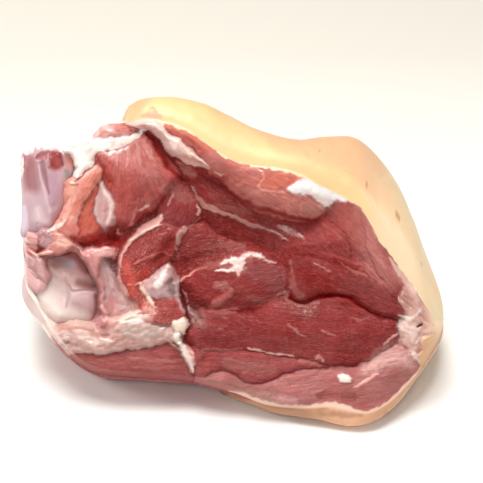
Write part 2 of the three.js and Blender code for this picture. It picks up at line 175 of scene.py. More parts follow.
# ---------------------------------------------------------------- patterns

# Each has its strength, its length and width in millimetres, and its seed. On muscle and sinew the length
# runs along the fibres. Sizes marked (round) are shares of the way round the section instead.
OUTLINE_SEEDS = ((1, 5), (9, 6))  # of sway and fray, for u and for v
OUTLINE_SWAY = (0.9, 6, 6, 0)
OUTLINE_FRAY = (0.45, 1.7, 1.7, 0)
GROUND_BUMPS = (0.8, 4, 4, 3)
FIBRE_RIDGES = (0.45, 22, 3.2, 40)
MUSCLE_SWELLS = (0.5, 9, 8, 0)
MUSCLE_GRIT = (0.16, 1.3, 1.1, 0)
FIBRE_SHADES = (0.08, 12, 2.8, 60)
MUSCLE_CLOUDS = (0.1, 8, 6, 80)
WARM_CLOUDS = (0.25, 10, 7, 3)
SINEW_LUMPS = (1, 6, 4, 20)
SINEW_GRIT = (0.35, 1.8, 1.4, 21)
MARK_FRAY = (0.5, 1.4, 1.4, 0)
MARK_FINE_FRAY = (0.35, 0.6, 0.6, 7)
MARK_MOTTLE = (0.1, 0.9, 0.9, 9)
LIP_SWAY = (0.9, 4, 4, 91)
LIP_FRAY = (0.5, 1.5, 1.5, 92)
BORDER_SWAY = (1.5, 12, 12, 31)
BLOTCHES = (1, 9, 9, 33)
PALE_CLOUDS = (1, 16, 9, 35)
STAINS = (1, 8, 3, 37)
RIND_FRAY = (0.5, 1.1, 1.1, 0)
RIND_EDGE_SWAY = (2.2, 1 / 30, 1 / 3, 55)  # (round)
SKIN_LUMPS = (0.9, 17, 1 / 14, 61)  # width (round)
SKIN_WRINKLES = (0.25, 3.5, 1 / 60, 62)  # width (round)
FASCIA_PATCHES = (1, 12, 9, 71)
BARE_FIBRES = (0.12, 14, 3, 72)
FASCIA_CLOUDS = (0.08, 5, 5, 73)
LOWER_FIBRES = (0.14, 14, 3, 74)
BONE_LUMPS = (0.35, 7, 7, 81)
BONE_SHADES = (0.06, 4, 4, 82)
BONE_FRAY = (1, 1.4, 1.4, 0)

# Patterns in the materials: sizes in metres, or for fibres how many there are to a millimetre.
MARBLED_REGION = 1 / 140
SINEW_LUMP = 1 / 260
RIND_CLOUD = 1 / 60
RIND_CREASE = 1 / 420
RIND_SPECK_SPACING = 1 / 45
CARTILAGE_CLOUD = 1 / 110
CARTILAGE_FILM = 1 / 420
TABLE_CLOUD = 1 / 40
FIBRES_PER_MM = (0.12, 0.9, 1)
FINE_FIBRES_PER_MM = (0.4, 2.4, 1)
STRANDS_PER_MM = (0.2, 1.6, 1)
MIX_SOCKETS = (0, 6, 7)  # factor and the two colours of a Mix node

# ---------------------------------------------------------------- colours

# Flesh tones from darkest to lightest, for cool and for warm muscle.
COOL_FLESH = ("#640C0C", "#8C2F30", "#AA5557", "#CC8D8A", "#F2BBB4")
WARM_FLESH = ("#760E0A", "#AC2A22", "#D05244", "#EA846E", "#FCB8A6")
# painted shade: the red laid into the cleft under the right-hand flap
CLEFT_SHADE_RED = "#A80E0C"
# painted shade: the deep red laid into the grooves between the lobes
GROOVE_SHADE_RED = "#8E0C08"
FAT_WHITE = "#FFF6EE"
UPPER_LIP_FAT = "#F6E2B8"
LOWER_LIP_FAT = "#F2CDB8"
FOLD_PALE = "#FFDFBC"
FOLD_TAN = "#E0AA7A"
SIDE_CREAM = "#F8DDBA"
SIDE_PEACH = "#FBDAB0"
PALE_CREAM = "#F7DC9E"
BLOTCH_PEACH = "#EEAE82"
CREST_CREAM = "#FBE8C4"
# painted light on the underside of the rind at the right
PAINTED_LIGHT_PEACH = "#F8C09C"
FASCIA_PALE = "#F6DCD0"
TORN_WHITE = "#FFF9F2"
LEFT_PALE = "#FFF2E8"
LEFT_SHADED = "#D8C0B4"

# What the patterns in each material multiply its pigment by.
DARK_FIBRE = (0.8, 0.6, 0.6, 1)
DARK_SINEW = (0.9, 0.76, 0.74, 1)
DARK_RIND = (0.98, 0.9, 0.82, 1)
DARK_CARTILAGE = (0.92, 0.84, 0.86, 1)

# ---------------------------------------------------------------- how the cut face is made up

EDGE_TIGHTNESS = 0.65  # share of a lobe's rounding that its edge really takes
CROWN_WIDTH = 14  # a lobe swells until this far inside its outline
FAN_SPREAD = 22  # millimetres across the fibres for each radian of a fan
FIBRE_OFFSET = 17  # keeps the fibres of neighbouring lobes apart
LOBE_REACH = 4
GROUND_LEVEL = -8  # what lies between the lobes, twice as deep in the joint
JOINT_OPENING = (-60, -74)
GROUND_TONE = 0.12
GROUND_WARMTH = 0.3
GROUND_SPECKS = 0.3
SINEW_LUMP_HEIGHT = 0.9
SINEW_EDGE = 2  # bumps fade over this distance from the outline
MUSCLE_EDGE = 3
LUMP_SHADE = 0.12
STAINED_HOLLOWS = (0.05, -0.5)  # how low a hollow between lumps lies when its stain starts and is full
STAIN_LOSS = (0.12, 0.3, 0.3)  # what a full stain takes from red, green and blue
# painted shade along the edge of each muscle lobe, and how far in it reaches
EDGE_SHADE = 0.05
EDGE_SHADE_WIDTH = 1.2
GROOVE_REACH = 8  # points of the face over which a groove's depth is judged
GROOVE_DEPTH = 0.7  # a groove deeper than this is partly filled
GROOVE_FILL = 0.75
GROOVE_SHADE_DEPTHS = (0.5, 2.6)  # depth at which painted shade starts to redden a groove, and where it is reddest
# how strongly the painted shade covers the deepest grooves
GROOVE_SHADE_COVER = 0.75
MARK_STEPS = 3
MARK_FOOT = 1.15  # how far past its half width a mark's rise reaches
CLEFT_STEPS = 4
CLEFT_WALL = (0.3, 1.1)  # shares of its half width over which the cleft's wall runs
BONE_DROP = 6  # how far the edge of a bone head's front lies behind its middle
BONE_LOOP_STEPS = 8
BONE_FRONT_RINGS = 45
BONE_BACK_RINGS = 13
BONE_MARK_STEPS = 4
BONE_MARK_FOOT = 1.3
TIP_COLOUR_PLACE = -20  # the point of the end section that lends its colour to the tip
TIP_LOOK = [0, 1, 0]  # rind, without tissue or specks

# ---------------------------------------------------------------- how the rind is coloured

# Pairs of numbers say where a change starts and is complete: over u, over v or w where the name ends in _V or
# _W, over the way round the section (0 to 1) where it ends in _ROUND, and over a pattern where it ends in
# _LEVELS. Each COVER is how strongly a colour is laid over the others.
BORDER_STEADIES = (60, 40)
BORDER_WIDENS = (60, 20)
BORDER_SOFTNESS = 3
BORDER_EXTRA_SOFTNESS = 4
RIGHT_SIDE = (50, 76)
BACK_ROUND = (0.3, 0.42)
UNDER_ROUND = (0.78, 0.9)
PALE_LEVELS = (-0.2, 0.5)
PALE_COVER = 0.5
BLOTCH_LEVELS = (0.1, 0.7)
BLOTCH_COVER = 0.6
SIDE_CLEARNESS = 0.8  # share of the blotches that the right side lacks
CREST = (55, 64)
CREST_OFFSET = 0.6  # the light crest lies this far below the border, and is this wide
CREST_WIDTH = 1.4
CREST_COVER = 0.5
CREST_END_ROUND = 0.3
TAN_DEEPENS = (-10, 50)
TAN_COVER = (0.6, 0.4)  # everywhere below, and what is added at the right
PAINTED_LIGHT_PLACE = (52, 9)  # middle and width, along u, of the painted light on the underside
PAINTED_LIGHT_COVER = 0.75
STAIN_LEVELS = (0, 0.6)
# painted shade over all of the underside left of these u, in the stain colour
SHADED_BELOW_LEFT = (44, 30)
STAIN_AND_SHADE_COVER = 0.6
SPOT_EDGE = (0.5, 1.3)  # shares of its half width over which a mark on the rind fades
SPOTS_END_ROUND = 0.35

# The same for the meat that lies bare beside the rind.
LEAN = (0.6, 0.5)  # how far its patterns lean along and across for each millimetre of depth
TOP_ROUND = (0.16, 0.08)
BELOW_ROUND = (0.84, 0.92)
BELOW_LEFT = (-30, -60)
PATCH_LEVELS = (-0.1, 0.35)
PATCH_MORE = 0.9  # how much more fascia lies where it shows
CAP_PATCH = 0.3
FASCIA_TISSUE = 0.6
BARE_TONE = 0.62
BARE_WARMTH = 0.35
TORN = (-38, -50)
TORN_ROUND = (0.2, 0.08)
TORN_CAP_V = (27, 37)
TORN_CAP_W = (-28, -18)
LOWER_ROUND = (0.8, 0.9)
LOWER = (-84, -76)
LOWER_TONE = 0.6
LOWER_WARMTH = 0.05
LEFT = (-84, -90)
LEFT_ROUND = (0.7, 0.85)
LEFT_CAP_V = (-1, -11)
LEFT_SHADES_V = (-19, -24)

# ---------------------------------------------------------------- the stage, in metres

LAMPS = {  # place, size and share of the light's power
    "Overhead lamp": ((-0.12, 0.07, 1.4), 0.7, 1.06),
    "Left lamp": ((-0.9, -0.05, 0.6), 0.4, 0.2),
    "Right lamp": ((1.0, -0.2, 0.6), 0.5, 0.14),
    "Front lamp": ((-0.25, -0.85, 0.75), 0.3, 0.12),
}
LAMP_AIM = (0, 0, 0.05)
LAMP_COLOUR = (1.0, 0.985, 0.96)
SENSOR_WIDTH = 36  # millimetres
TABLE_REACH = 3
TABLE_SHADE_BACK = (0.05, 0.3)  # how far back painted shade starts to darken and warm the table, and is full

# ---------------------------------------------------------------- what lies in the cut face, and on the rind

# Where the cream fat side of the rind gives way to the outer skin, as seen, and marks on that skin.
FAT_BORDER = [[-95, 90], [-30, 86], [0, 72], [10, 60], [20, 52.5], [30, 49], [40, 46], [52, 40], [62, 29],
              [70, 20], [77, 12], [82, 4], [85, -4], [89, -14], [95, -27]]
RIND_MARKS = [
    Mark([(-47, 62, 2), (-45, 66, 3), (-42, 70, 3.5), (-39, 74, 3)], "#F7BE90", 0.9, 0.5),
    Mark([(-40, 66, 1.5), (-36, 66.5, 2.2), (-32.5, 65.5, 1.5)], "#DFA58C", 0.8, 0.8),
    Mark([(-37, 70, 0.5), (-35, 69.4, 0.6), (-33.6, 67.8, 0.5)], "#B07A58", 0.7, 0.9),
    Mark([(39.5, 49.8, 0.3), (43, 48.9, 0.3)], "#A8643A", 0.8, 0.3),
    Mark([(59.5, 35.2, 0.3), (62, 33.8, 0.3)], "#B87038", 0.7, 0.3),
    Mark([(65.5, 31, 0.3), (68, 29, 0.3)], "#B87A50", 0.6, 0.3),
    Mark([(72.8, 22.3, 0.3), (74.4, 21, 0.4), (75.4, 19.2, 0.3)], "#B87838", 0.7, 0.3),
    Mark([(84.5, 0, 0.3), (85.6, -2.5, 0.4)], "#C08A58", 0.6, 0.3),
    Mark([(-50, 64, 3), (-46, 67.5, 4), (-42, 70, 3)], "#F0B488", 0.5, 0.3),
    Mark([(84, -46, 1.6), (88, -40, 2), (91, -33, 1.6)], "#C68C5C", 0.6, 0.3),
    Mark([(30, 44.5, 0.4), (42, 41, 0.6), (52, 35.5, 0.5), (58, 30, 0.4)], "#F4DDA4", 0.6, 0.5),
    Mark([(52, 54.5, 2), (58, 53, 2.5), (63, 48, 2.5), (68, 40, 2)], "#F3BE92", 0.6, 0.5),
]

LOBES = {
    "blood_bed": Lobe([(-71, 14), (-62, 17), (-52, 19), (-46, 16), (-44, 10), (-48, 3), (-52, 3), (-55, 6),
        (-64, 6), (-70, 8)], -5.5, 1.5, 3, 0, 20, tone=0.2, warmth=0.7, specks=1),
    "behind_round": Lobe([(-47, 18), (-43, 24), (-37, 26), (-32, 31), (-27, 35), (-25, 30), (-30, 22),
        (-32, 18), (-40, 13), (-47, 8), (-52, 10), (-51, 15)], -6, 2, 4, 1, 35, tone=0.4, warmth=0.15,
        specks=0.6),
    "band": Lobe([(-20, 34), (-15, 29.5), (-10, 25), (-3, 21.5), (7, 17), (17, 13.5), (27, 10.5), (36, 9),
        (38, 1), (27, 0), (20, 1.5), (12, 5), (4, 9), (-3, 11.5), (-8, 14), (-12, 18), (-14, 23)], -5.5, 3,
        5, 1, -28, tone=0.12, warmth=0.12, merge=2.5, specks=0.1),
    "long_under": Lobe([(-33, 56), (-29, 50), (-25, 49), (-21, 46), (-12, 45), (-8, 43), (-3, 40), (3, 35),
        (8, 31), (14, 28), (22, 26), (30, 24), (40, 23), (46, 27), (52, 31), (54, 24), (48, 15), (38, 11),
        (27, 10), (17, 13), (7, 17), (-3, 21.5), (-10, 25), (-15, 30), (-19, 35), (-25, 42), (-31, 50)], -6,
        4, 6, 1.5, -40, tone=0.28, warmth=0.15, merge=2, specks=0.3),
    "upper_right": Lobe([(28, 9), (36, 14), (41, 19), (46, 26), (54, 31), (64, 30), (70, 14), (74, 8),
        (79, 1), (84, -5), (86, -13), (78, -20), (72, -15), (65, -9), (58, -4.5), (50, -2.5), (40, 0.5),
        (30, 3)], -0.5, 1.5, 9, 3, -46, tone=0.44, warmth=0.2, merge=4, fall=0.3, specks=0.1),
    "long_top": Lobe([(-31, 63.5), (-24, 55.5), (-18, 51), (-13, 45.5), (-10, 42.5), (-4, 39.5), (0, 35.5),
        (5, 30.5), (10, 26.5), (15, 24), (20, 22), (25, 20.5), (30, 19.8), (37, 19.6), (42, 21.5), (46, 25),
        (50, 30), (50, 38), (40, 43), (33, 47), (20, 50), (10, 52), (0, 55), (-10, 62), (-20, 70),
        (-30, 72)], 1, 8, 9, 1.5, -33, tone=0.7, warmth=0.4, step=0.7, sinks=(31, 0.45)),
    "fan": Lobe([(-61, 48.5), (-57, 50.5), (-50, 51.5), (-45, 54), (-41, 57), (-38, 58), (-35, 53),
        (-31.5, 47), (-28, 42.5), (-25, 38.5), (-29, 34), (-33, 30), (-36, 26), (-41, 24), (-44, 20),
        (-47, 18.5), (-51, 20), (-52.5, 27), (-55, 33), (-58, 38), (-59.5, 43)], -1, 5, 7, 3, (-49, 66),
        tone=0.6, warmth=0.4, specks=0.15),
    "tendon": Lobe([(-47, 64.2), (-40, 65.4), (-34, 64.8), (-31, 61.4), (-28, 57.6), (-25.6, 56.2),
        (-23, 55.6), (-21, 52.4), (-17, 48.8), (-13.4, 45.8), (-10.4, 43.2), (-13.6, 45), (-17, 46.6),
        (-19.4, 47.4), (-21.4, 49.6), (-23.8, 50.6), (-26, 51), (-27.6, 53), (-29, 56.6), (-32.4, 59.8),
        (-36.4, 61.4), (-41.5, 62), (-47, 62.4)], 3.5, 4.5, 4.5, 0.6, -55, tissue="#F5C9BE", calm=0.6,
        merge=1.4, fall=3),
    "top_lump": Lobe([(-62.5, 56), (-61.5, 60), (-59.5, 63.5), (-56, 65), (-50, 64.5), (-46, 63), (-43, 61),
        (-43.5, 58.4), (-48, 56.8), (-52, 56.2), (-57, 55.4)], 0, 3.2, 4, 1.5, 10, tone=1, warmth=0.1,
        merge=1.5, specks=1.6, fall=4),
    "white_band": Lobe([(-90, 50), (-86, 52), (-78, 56), (-70, 56), (-64, 57), (-58, 56.5), (-50, 56.5),
        (-44, 58), (-39.5, 60), (-38.2, 57.5), (-41, 55.5), (-46, 52.5), (-52, 50.5), (-57, 50),
        (-61, 48.5), (-62.5, 45), (-66, 41.5), (-69, 38), (-70.6, 38.2), (-69.8, 42), (-70.3, 47),
        (-73, 50.4), (-84, 51)], 0, 3, 3, 0.5, 15, tissue=FAT_WHITE, calm=0.5, fall=5),
    "flap_under": Lobe([(-72, 26), (-66, 33), (-61.5, 37), (-60, 34), (-61.5, 29), (-62.4, 25), (-62, 20),
        (-59.5, 15.5), (-63, 12.5), (-70, 11), (-74, 18)], -0.8, 3, 4, 0.5, 65, tone=0.62, warmth=0.85,
        merge=3, specks=0.7, fall=2),
    "flap": Lobe([(-74, 35.5), (-71, 37.3), (-68.5, 36.8), (-66, 39.5), (-62, 43.5), (-59.8, 44),
        (-57.5, 41), (-59.8, 37.5), (-61.8, 33.5), (-64, 29.5), (-66.5, 26.5), (-68, 23.5), (-69.5, 19),
        (-69, 14), (-71, 12), (-75, 13), (-78, 16.5), (-76.8, 20), (-74.5, 24.5), (-73.6, 28), (-74.4, 32)],
        0, 4.5, 5, 1, 60, tone=0.95, warmth=0.8, specks=0.2, fall=3),
    "teardrop": Lobe([(-58.8, 37.5), (-56.5, 33.5), (-53.8, 29.5), (-52.3, 25), (-53.3, 20.5),
        (-55.5, 17.3), (-58.3, 16), (-61, 17.8), (-62.4, 22), (-62.5, 26), (-61.4, 30), (-60.3, 33)], -2,
        3.5, 6, 1.5, 80, tissue="#CC9B99", calm=0.25, merge=3, fall=1.6),
    "knot_left": Lobe([(-96, 6), (-95.5, 10.5), (-93, 14), (-89.5, 13.5), (-87.6, 11), (-88, 7.5), (-90, 5),
        (-92, 2.8), (-95, 3)], -3, 3.5, 3.5, 1, 30, tissue="#E6ADAA", fall=5),
    "knot_middle": Lobe([(-87.6, 9), (-88, 12), (-86, 14.6), (-82.3, 15), (-80.4, 12.8), (-80.4, 9.3),
        (-84, 7.6)], -0.5, 3, 3, 0.5, 50, tissue="#B98B8D", calm=0.7, fall=5),
    "knot_right": Lobe([(-86.5, 4.2), (-84, 7.4), (-81, 9.5), (-81.3, 12.5), (-79, 14.6), (-75.5, 13.6),
        (-72.8, 11), (-71, 8.8), (-69.8, 7.2), (-74, 5.8), (-79, 4.6), (-83, 3.8)], -0.5, 3.8, 3, 0.8, -15,
        tissue="#D68D84", calm=0.8, fall=5),
    "fold_upper": Lobe([(-91.5, 1), (-88, 2.6), (-84.8, 1.8), (-83.8, -2), (-82.6, -6), (-84, -8.6),
        (-87, -6.6), (-91, -3)], -1, 3, 3, 0.5, -40, tissue="#BE8C8A", calm=0.25, fall=3),
    "fold_lower": Lobe([(-96, -4.5), (-92, -3), (-88.5, -5.6), (-84.6, -8.6), (-84.5, -11.5), (-87.5, -13),
        (-90, -13.4), (-94, -9.8)], -1.5, 3, 3, 0.5, -45, tissue="#DCABA8", calm=0.25, fall=3),
    "fold_edge": Lobe([(-98, -7), (-93.5, -9.5), (-90.5, -13), (-88, -16), (-87, -19.5), (-84.5, -24),
        (-80, -28.5), (-82, -32), (-88, -28), (-95, -20), (-98, -12)], -3, 3, 3, 0.5, -50, tissue="#FFF0E6",
        calm=0.5, merge=2, fall=2.5),
    "facet": Lobe([(-60, 1.5), (-55, 1), (-51.5, -4), (-50.3, -10), (-47.5, -15), (-40.5, -20),
        (-43, -22.5), (-49, -23.5), (-55, -26), (-58, -21), (-58.5, -14), (-60, -7)], -3.5, 2, 4, -1, -70,
        tissue="#B98380", calm=0.1),
    "strip_top": Lobe([(-69.3, 7.3), (-67, 5), (-64.5, 6.6), (-60, 5.8), (-55.5, 7), (-53, 6.4), (-53, 4),
        (-56, 2.8), (-59, 1), (-60, -2), (-61, -6), (-63.5, -2.5), (-65.5, 0.5), (-67.8, 4)], -1, 3, 2.5,
        0.5, -50, tissue="#DD9F9B", calm=0.6, fall=5),
    "crescent": Lobe([(-31, 19), (-37, 16.5), (-44, 11.5), (-48, 6.5), (-50.5, 1), (-50.3, -6),
        (-48.8, -11), (-46.5, -15.5), (-43, -18), (-39, -18), (-41.5, -12), (-41, -8), (-36, -4.5),
        (-31, -0.5), (-28, 1.5), (-26.5, 4), (-25, 9), (-22.5, 14), (-26, 16)], -3, 5, 6, 2, 42, tone=0.33,
        warmth=0.3, specks=0.9),
    "round": Lobe([(-33, 20), (-32.5, 27), (-29, 33.5), (-25, 37), (-20, 34), (-16.5, 30), (-14, 25),
        (-14.5, 20), (-18, 17.3), (-22, 15.5), (-27, 16.3), (-31, 18.3)], -4.5, 4, 6, 2, 70, tone=0.33,
        warmth=0.02, specks=0.15),
    "wedge": Lobe([(-23, 14), (-18, 17.5), (-13, 17), (-8, 13.5), (-3, 11), (4, 8.5), (8, 5), (2, 3.5),
        (-4, 2.5), (-12, -1.5), (-22, -7), (-26, -8), (-26.5, -3), (-27.5, 2), (-26, 7), (-24.5, 11)], -5,
        4, 5, 1, 10, tone=0.26, warmth=0.15, specks=0.7),
    "centre": Lobe([(-23, -8), (-17, -4.5), (-12, -2.5), (-6, 0.5), (0, 3.2), (6, 5), (12, 5), (18, 2.7),
        (22, 0), (25, -4), (25.8, -9), (25.2, -13), (22, -15.5), (17, -18), (12, -20.8), (6, -21.3),
        (1, -21), (-3, -22), (-10, -22.5), (-16, -21), (-19.5, -19), (-21.5, -15)], -3, 7, 10, 2, 12,
        tone=0.31, warmth=0.12),
    "tongue": Lobe([(-14, -20.5), (-4, -20.5), (3, -21), (1.2, -24.5), (-2.6, -27.2), (-8, -25.6),
        (-13, -25)], 0.5, 3.5, 3, 0.5, 0, tone=0.52, warmth=0.12, merge=2),
    "silver_film": Lobe([(-20.5, -20.5), (-17, -21), (-12, -22.5), (-10.5, -25.5), (-13, -28.5),
        (-17, -30.5), (-20, -30)], -1.5, 3, 5, 0, -40, tissue="#9A6E6A", merge=4, calm=0.8, fall=1.2),
    "right_flap": Lobe([(25.6, 2.3), (30, 3.2), (38, 1.9), (45, -0.5), (52, -3), (60, -6.3), (66, -10),
        (70, -13.5), (74, -18.5), (77, -23), (74, -24.8), (68, -24), (62, -21.5), (57, -18), (53, -15),
        (46, -13.6), (40, -13.8), (36, -15.8), (32, -17.2), (28, -16), (25.7, -12.5), (25.4, -6)], 2, 5, 6,
        1.5, -24, tone=0.28, warmth=0.1),
    "lower_big": Lobe([(22, -17), (26, -18), (30, -19.3), (33, -19), (37, -17.2), (40, -16.2), (46, -15.7),
        (52, -16.2), (56, -19), (60, -22), (66, -25.3), (73, -27), (74, -31), (74, -36), (68, -40),
        (62, -43.5), (55, -45.8), (48, -46.8), (42, -46.3), (36, -45), (28, -43.5), (18, -41.5), (8, -40.2),
        (0, -40), (-8, -40), (-16, -38.5), (-20, -34), (-17, -29), (-12, -25.5), (-8, -26), (-3, -27),
        (1, -25), (4, -23), (9, -22.5), (15, -20)], 1, 5, 6, 2.5, -8, tone=0.3, warmth=0.12),
    "bottom_left": Lobe([(-80, -38), (-76, -41), (-72, -40), (-60, -40.5), (-52, -39.5), (-45, -38.5),
        (-35, -36.5), (-29, -35), (-24, -37.5), (-21, -42), (-18, -46), (-16, -48), (-12, -50), (-10, -55),
        (-20, -62), (-30, -61), (-45, -60), (-60, -58), (-70, -54), (-80, -44)], -4, 5, 6, 2, -3, tone=0.42,
        warmth=0.02),
    "bottom_right": Lobe([(-16, -52), (-9, -50), (-5, -48.5), (0, -50), (5, -53.5), (10, -54.5),
        (18, -53.5), (22, -51), (30, -49), (40, -48), (47, -47), (55, -46.5), (62, -44), (68, -41),
        (73, -37.5), (78, -39), (81, -42.5), (84, -46.5), (90, -51), (82, -62), (72, -70), (62, -74),
        (50, -72), (40, -72), (20, -71), (5, -68), (-8, -65), (-18, -60)], 0, 5, 6, 2, 8, tone=0.66,
        warmth=0.04),
    "lower_lobe": Lobe([(-18, -35), (-15, -38.5), (-8, -39.7), (0, -39.8), (8, -40), (18, -41.3),
        (28, -43.3), (38, -45), (43, -47), (39, -48), (30, -49), (22, -50.3), (19, -52.5), (12, -53.7),
        (7, -54.3), (3, -51.5), (-1, -49.5), (-5, -48.3), (-8, -49.5), (-12, -51.5), (-16, -51), (-17, -45),
        (-18, -40)], 1, 4.5, 4, 1, -6, tone=0.44, warmth=0.1),
    "end_gristle": Lobe([(73, -30.5), (74.5, -26), (76, -21), (76, -15), (78, -11), (81, -9.5), (85, -14),
        (88, -19), (90, -25), (89, -31), (85.5, -38), (85.5, -42), (87.5, -46), (84, -47.5), (81.5, -44),
        (79, -40), (75, -37.5)], 1, 3, 4, 0.5, -60, tissue="#D3A79A", merge=2),
    "ledge": Lobe([(-92, -22), (-86, -27), (-80, -31), (-76, -29.5), (-70, -28.5), (-66, -29), (-62, -31.5),
        (-58, -33), (-55, -32.5), (-52, -28), (-49, -26.5), (-42, -26), (-36, -27), (-30, -28.3),
        (-27, -27.5), (-25, -25), (-21.5, -25.3), (-19.8, -28.5), (-21.5, -32), (-24, -34.5), (-28, -35.5),
        (-35, -36.8), (-45, -38.8), (-52, -39.8), (-60, -41), (-70, -40.5), (-76, -41.5), (-80, -38.5),
        (-85, -33.5), (-90, -28)], -2, 5, 4.5, 0.5, 5, tissue="#CEA99F"),
    "under_facet": Lobe([(-60, -28), (-56, -26), (-50, -25), (-44, -23), (-40, -21), (-37, -19), (-36, -25),
        (-42, -25.8), (-49, -26.3), (-53, -29), (-56, -32.5), (-60, -33)], -2, 3, 2.5, 0, 15,
        tissue="#DFA6A0"),
    "red_lump": Lobe([(-39.5, -17), (-34, -15), (-28, -14.5), (-24.3, -16), (-22, -21), (-21, -26),
        (-26, -27.8), (-31, -28.6), (-38, -27.5), (-40, -23)], -0.5, 4.5, 6, 1.5, 0, tone=0.44, warmth=0.5,
        merge=3, specks=1.1, fall=2),
    "gristle_knob": Lobe([(-28.3, -0.3), (-26.6, -2.8), (-25, -6), (-23.9, -9), (-23.6, -13),
        (-24.4, -16.5), (-30, -16.6), (-35, -17), (-39, -14.5), (-40.3, -11.5), (-37.8, -7.8), (-33.5, -5),
        (-30.5, -2)], -0.5, 7, 10, 1, 60, tissue="#C8A5A3", calm=1, step=0.8, merge=3, fall=3),
    "end_knob": Lobe([(-27.8, -28.3), (-27.3, -26.2), (-24.6, -25.2), (-22.2, -24.8), (-20.2, -26.8),
        (-20.5, -29.4), (-21.5, -31.8), (-24.5, -32), (-26.3, -30.6)], 2.5, 3.5, 3.5, 0.3, 0,
        tissue="#F0DAC8", calm=0.7, step=0.8, merge=1.2, fall=4),
}

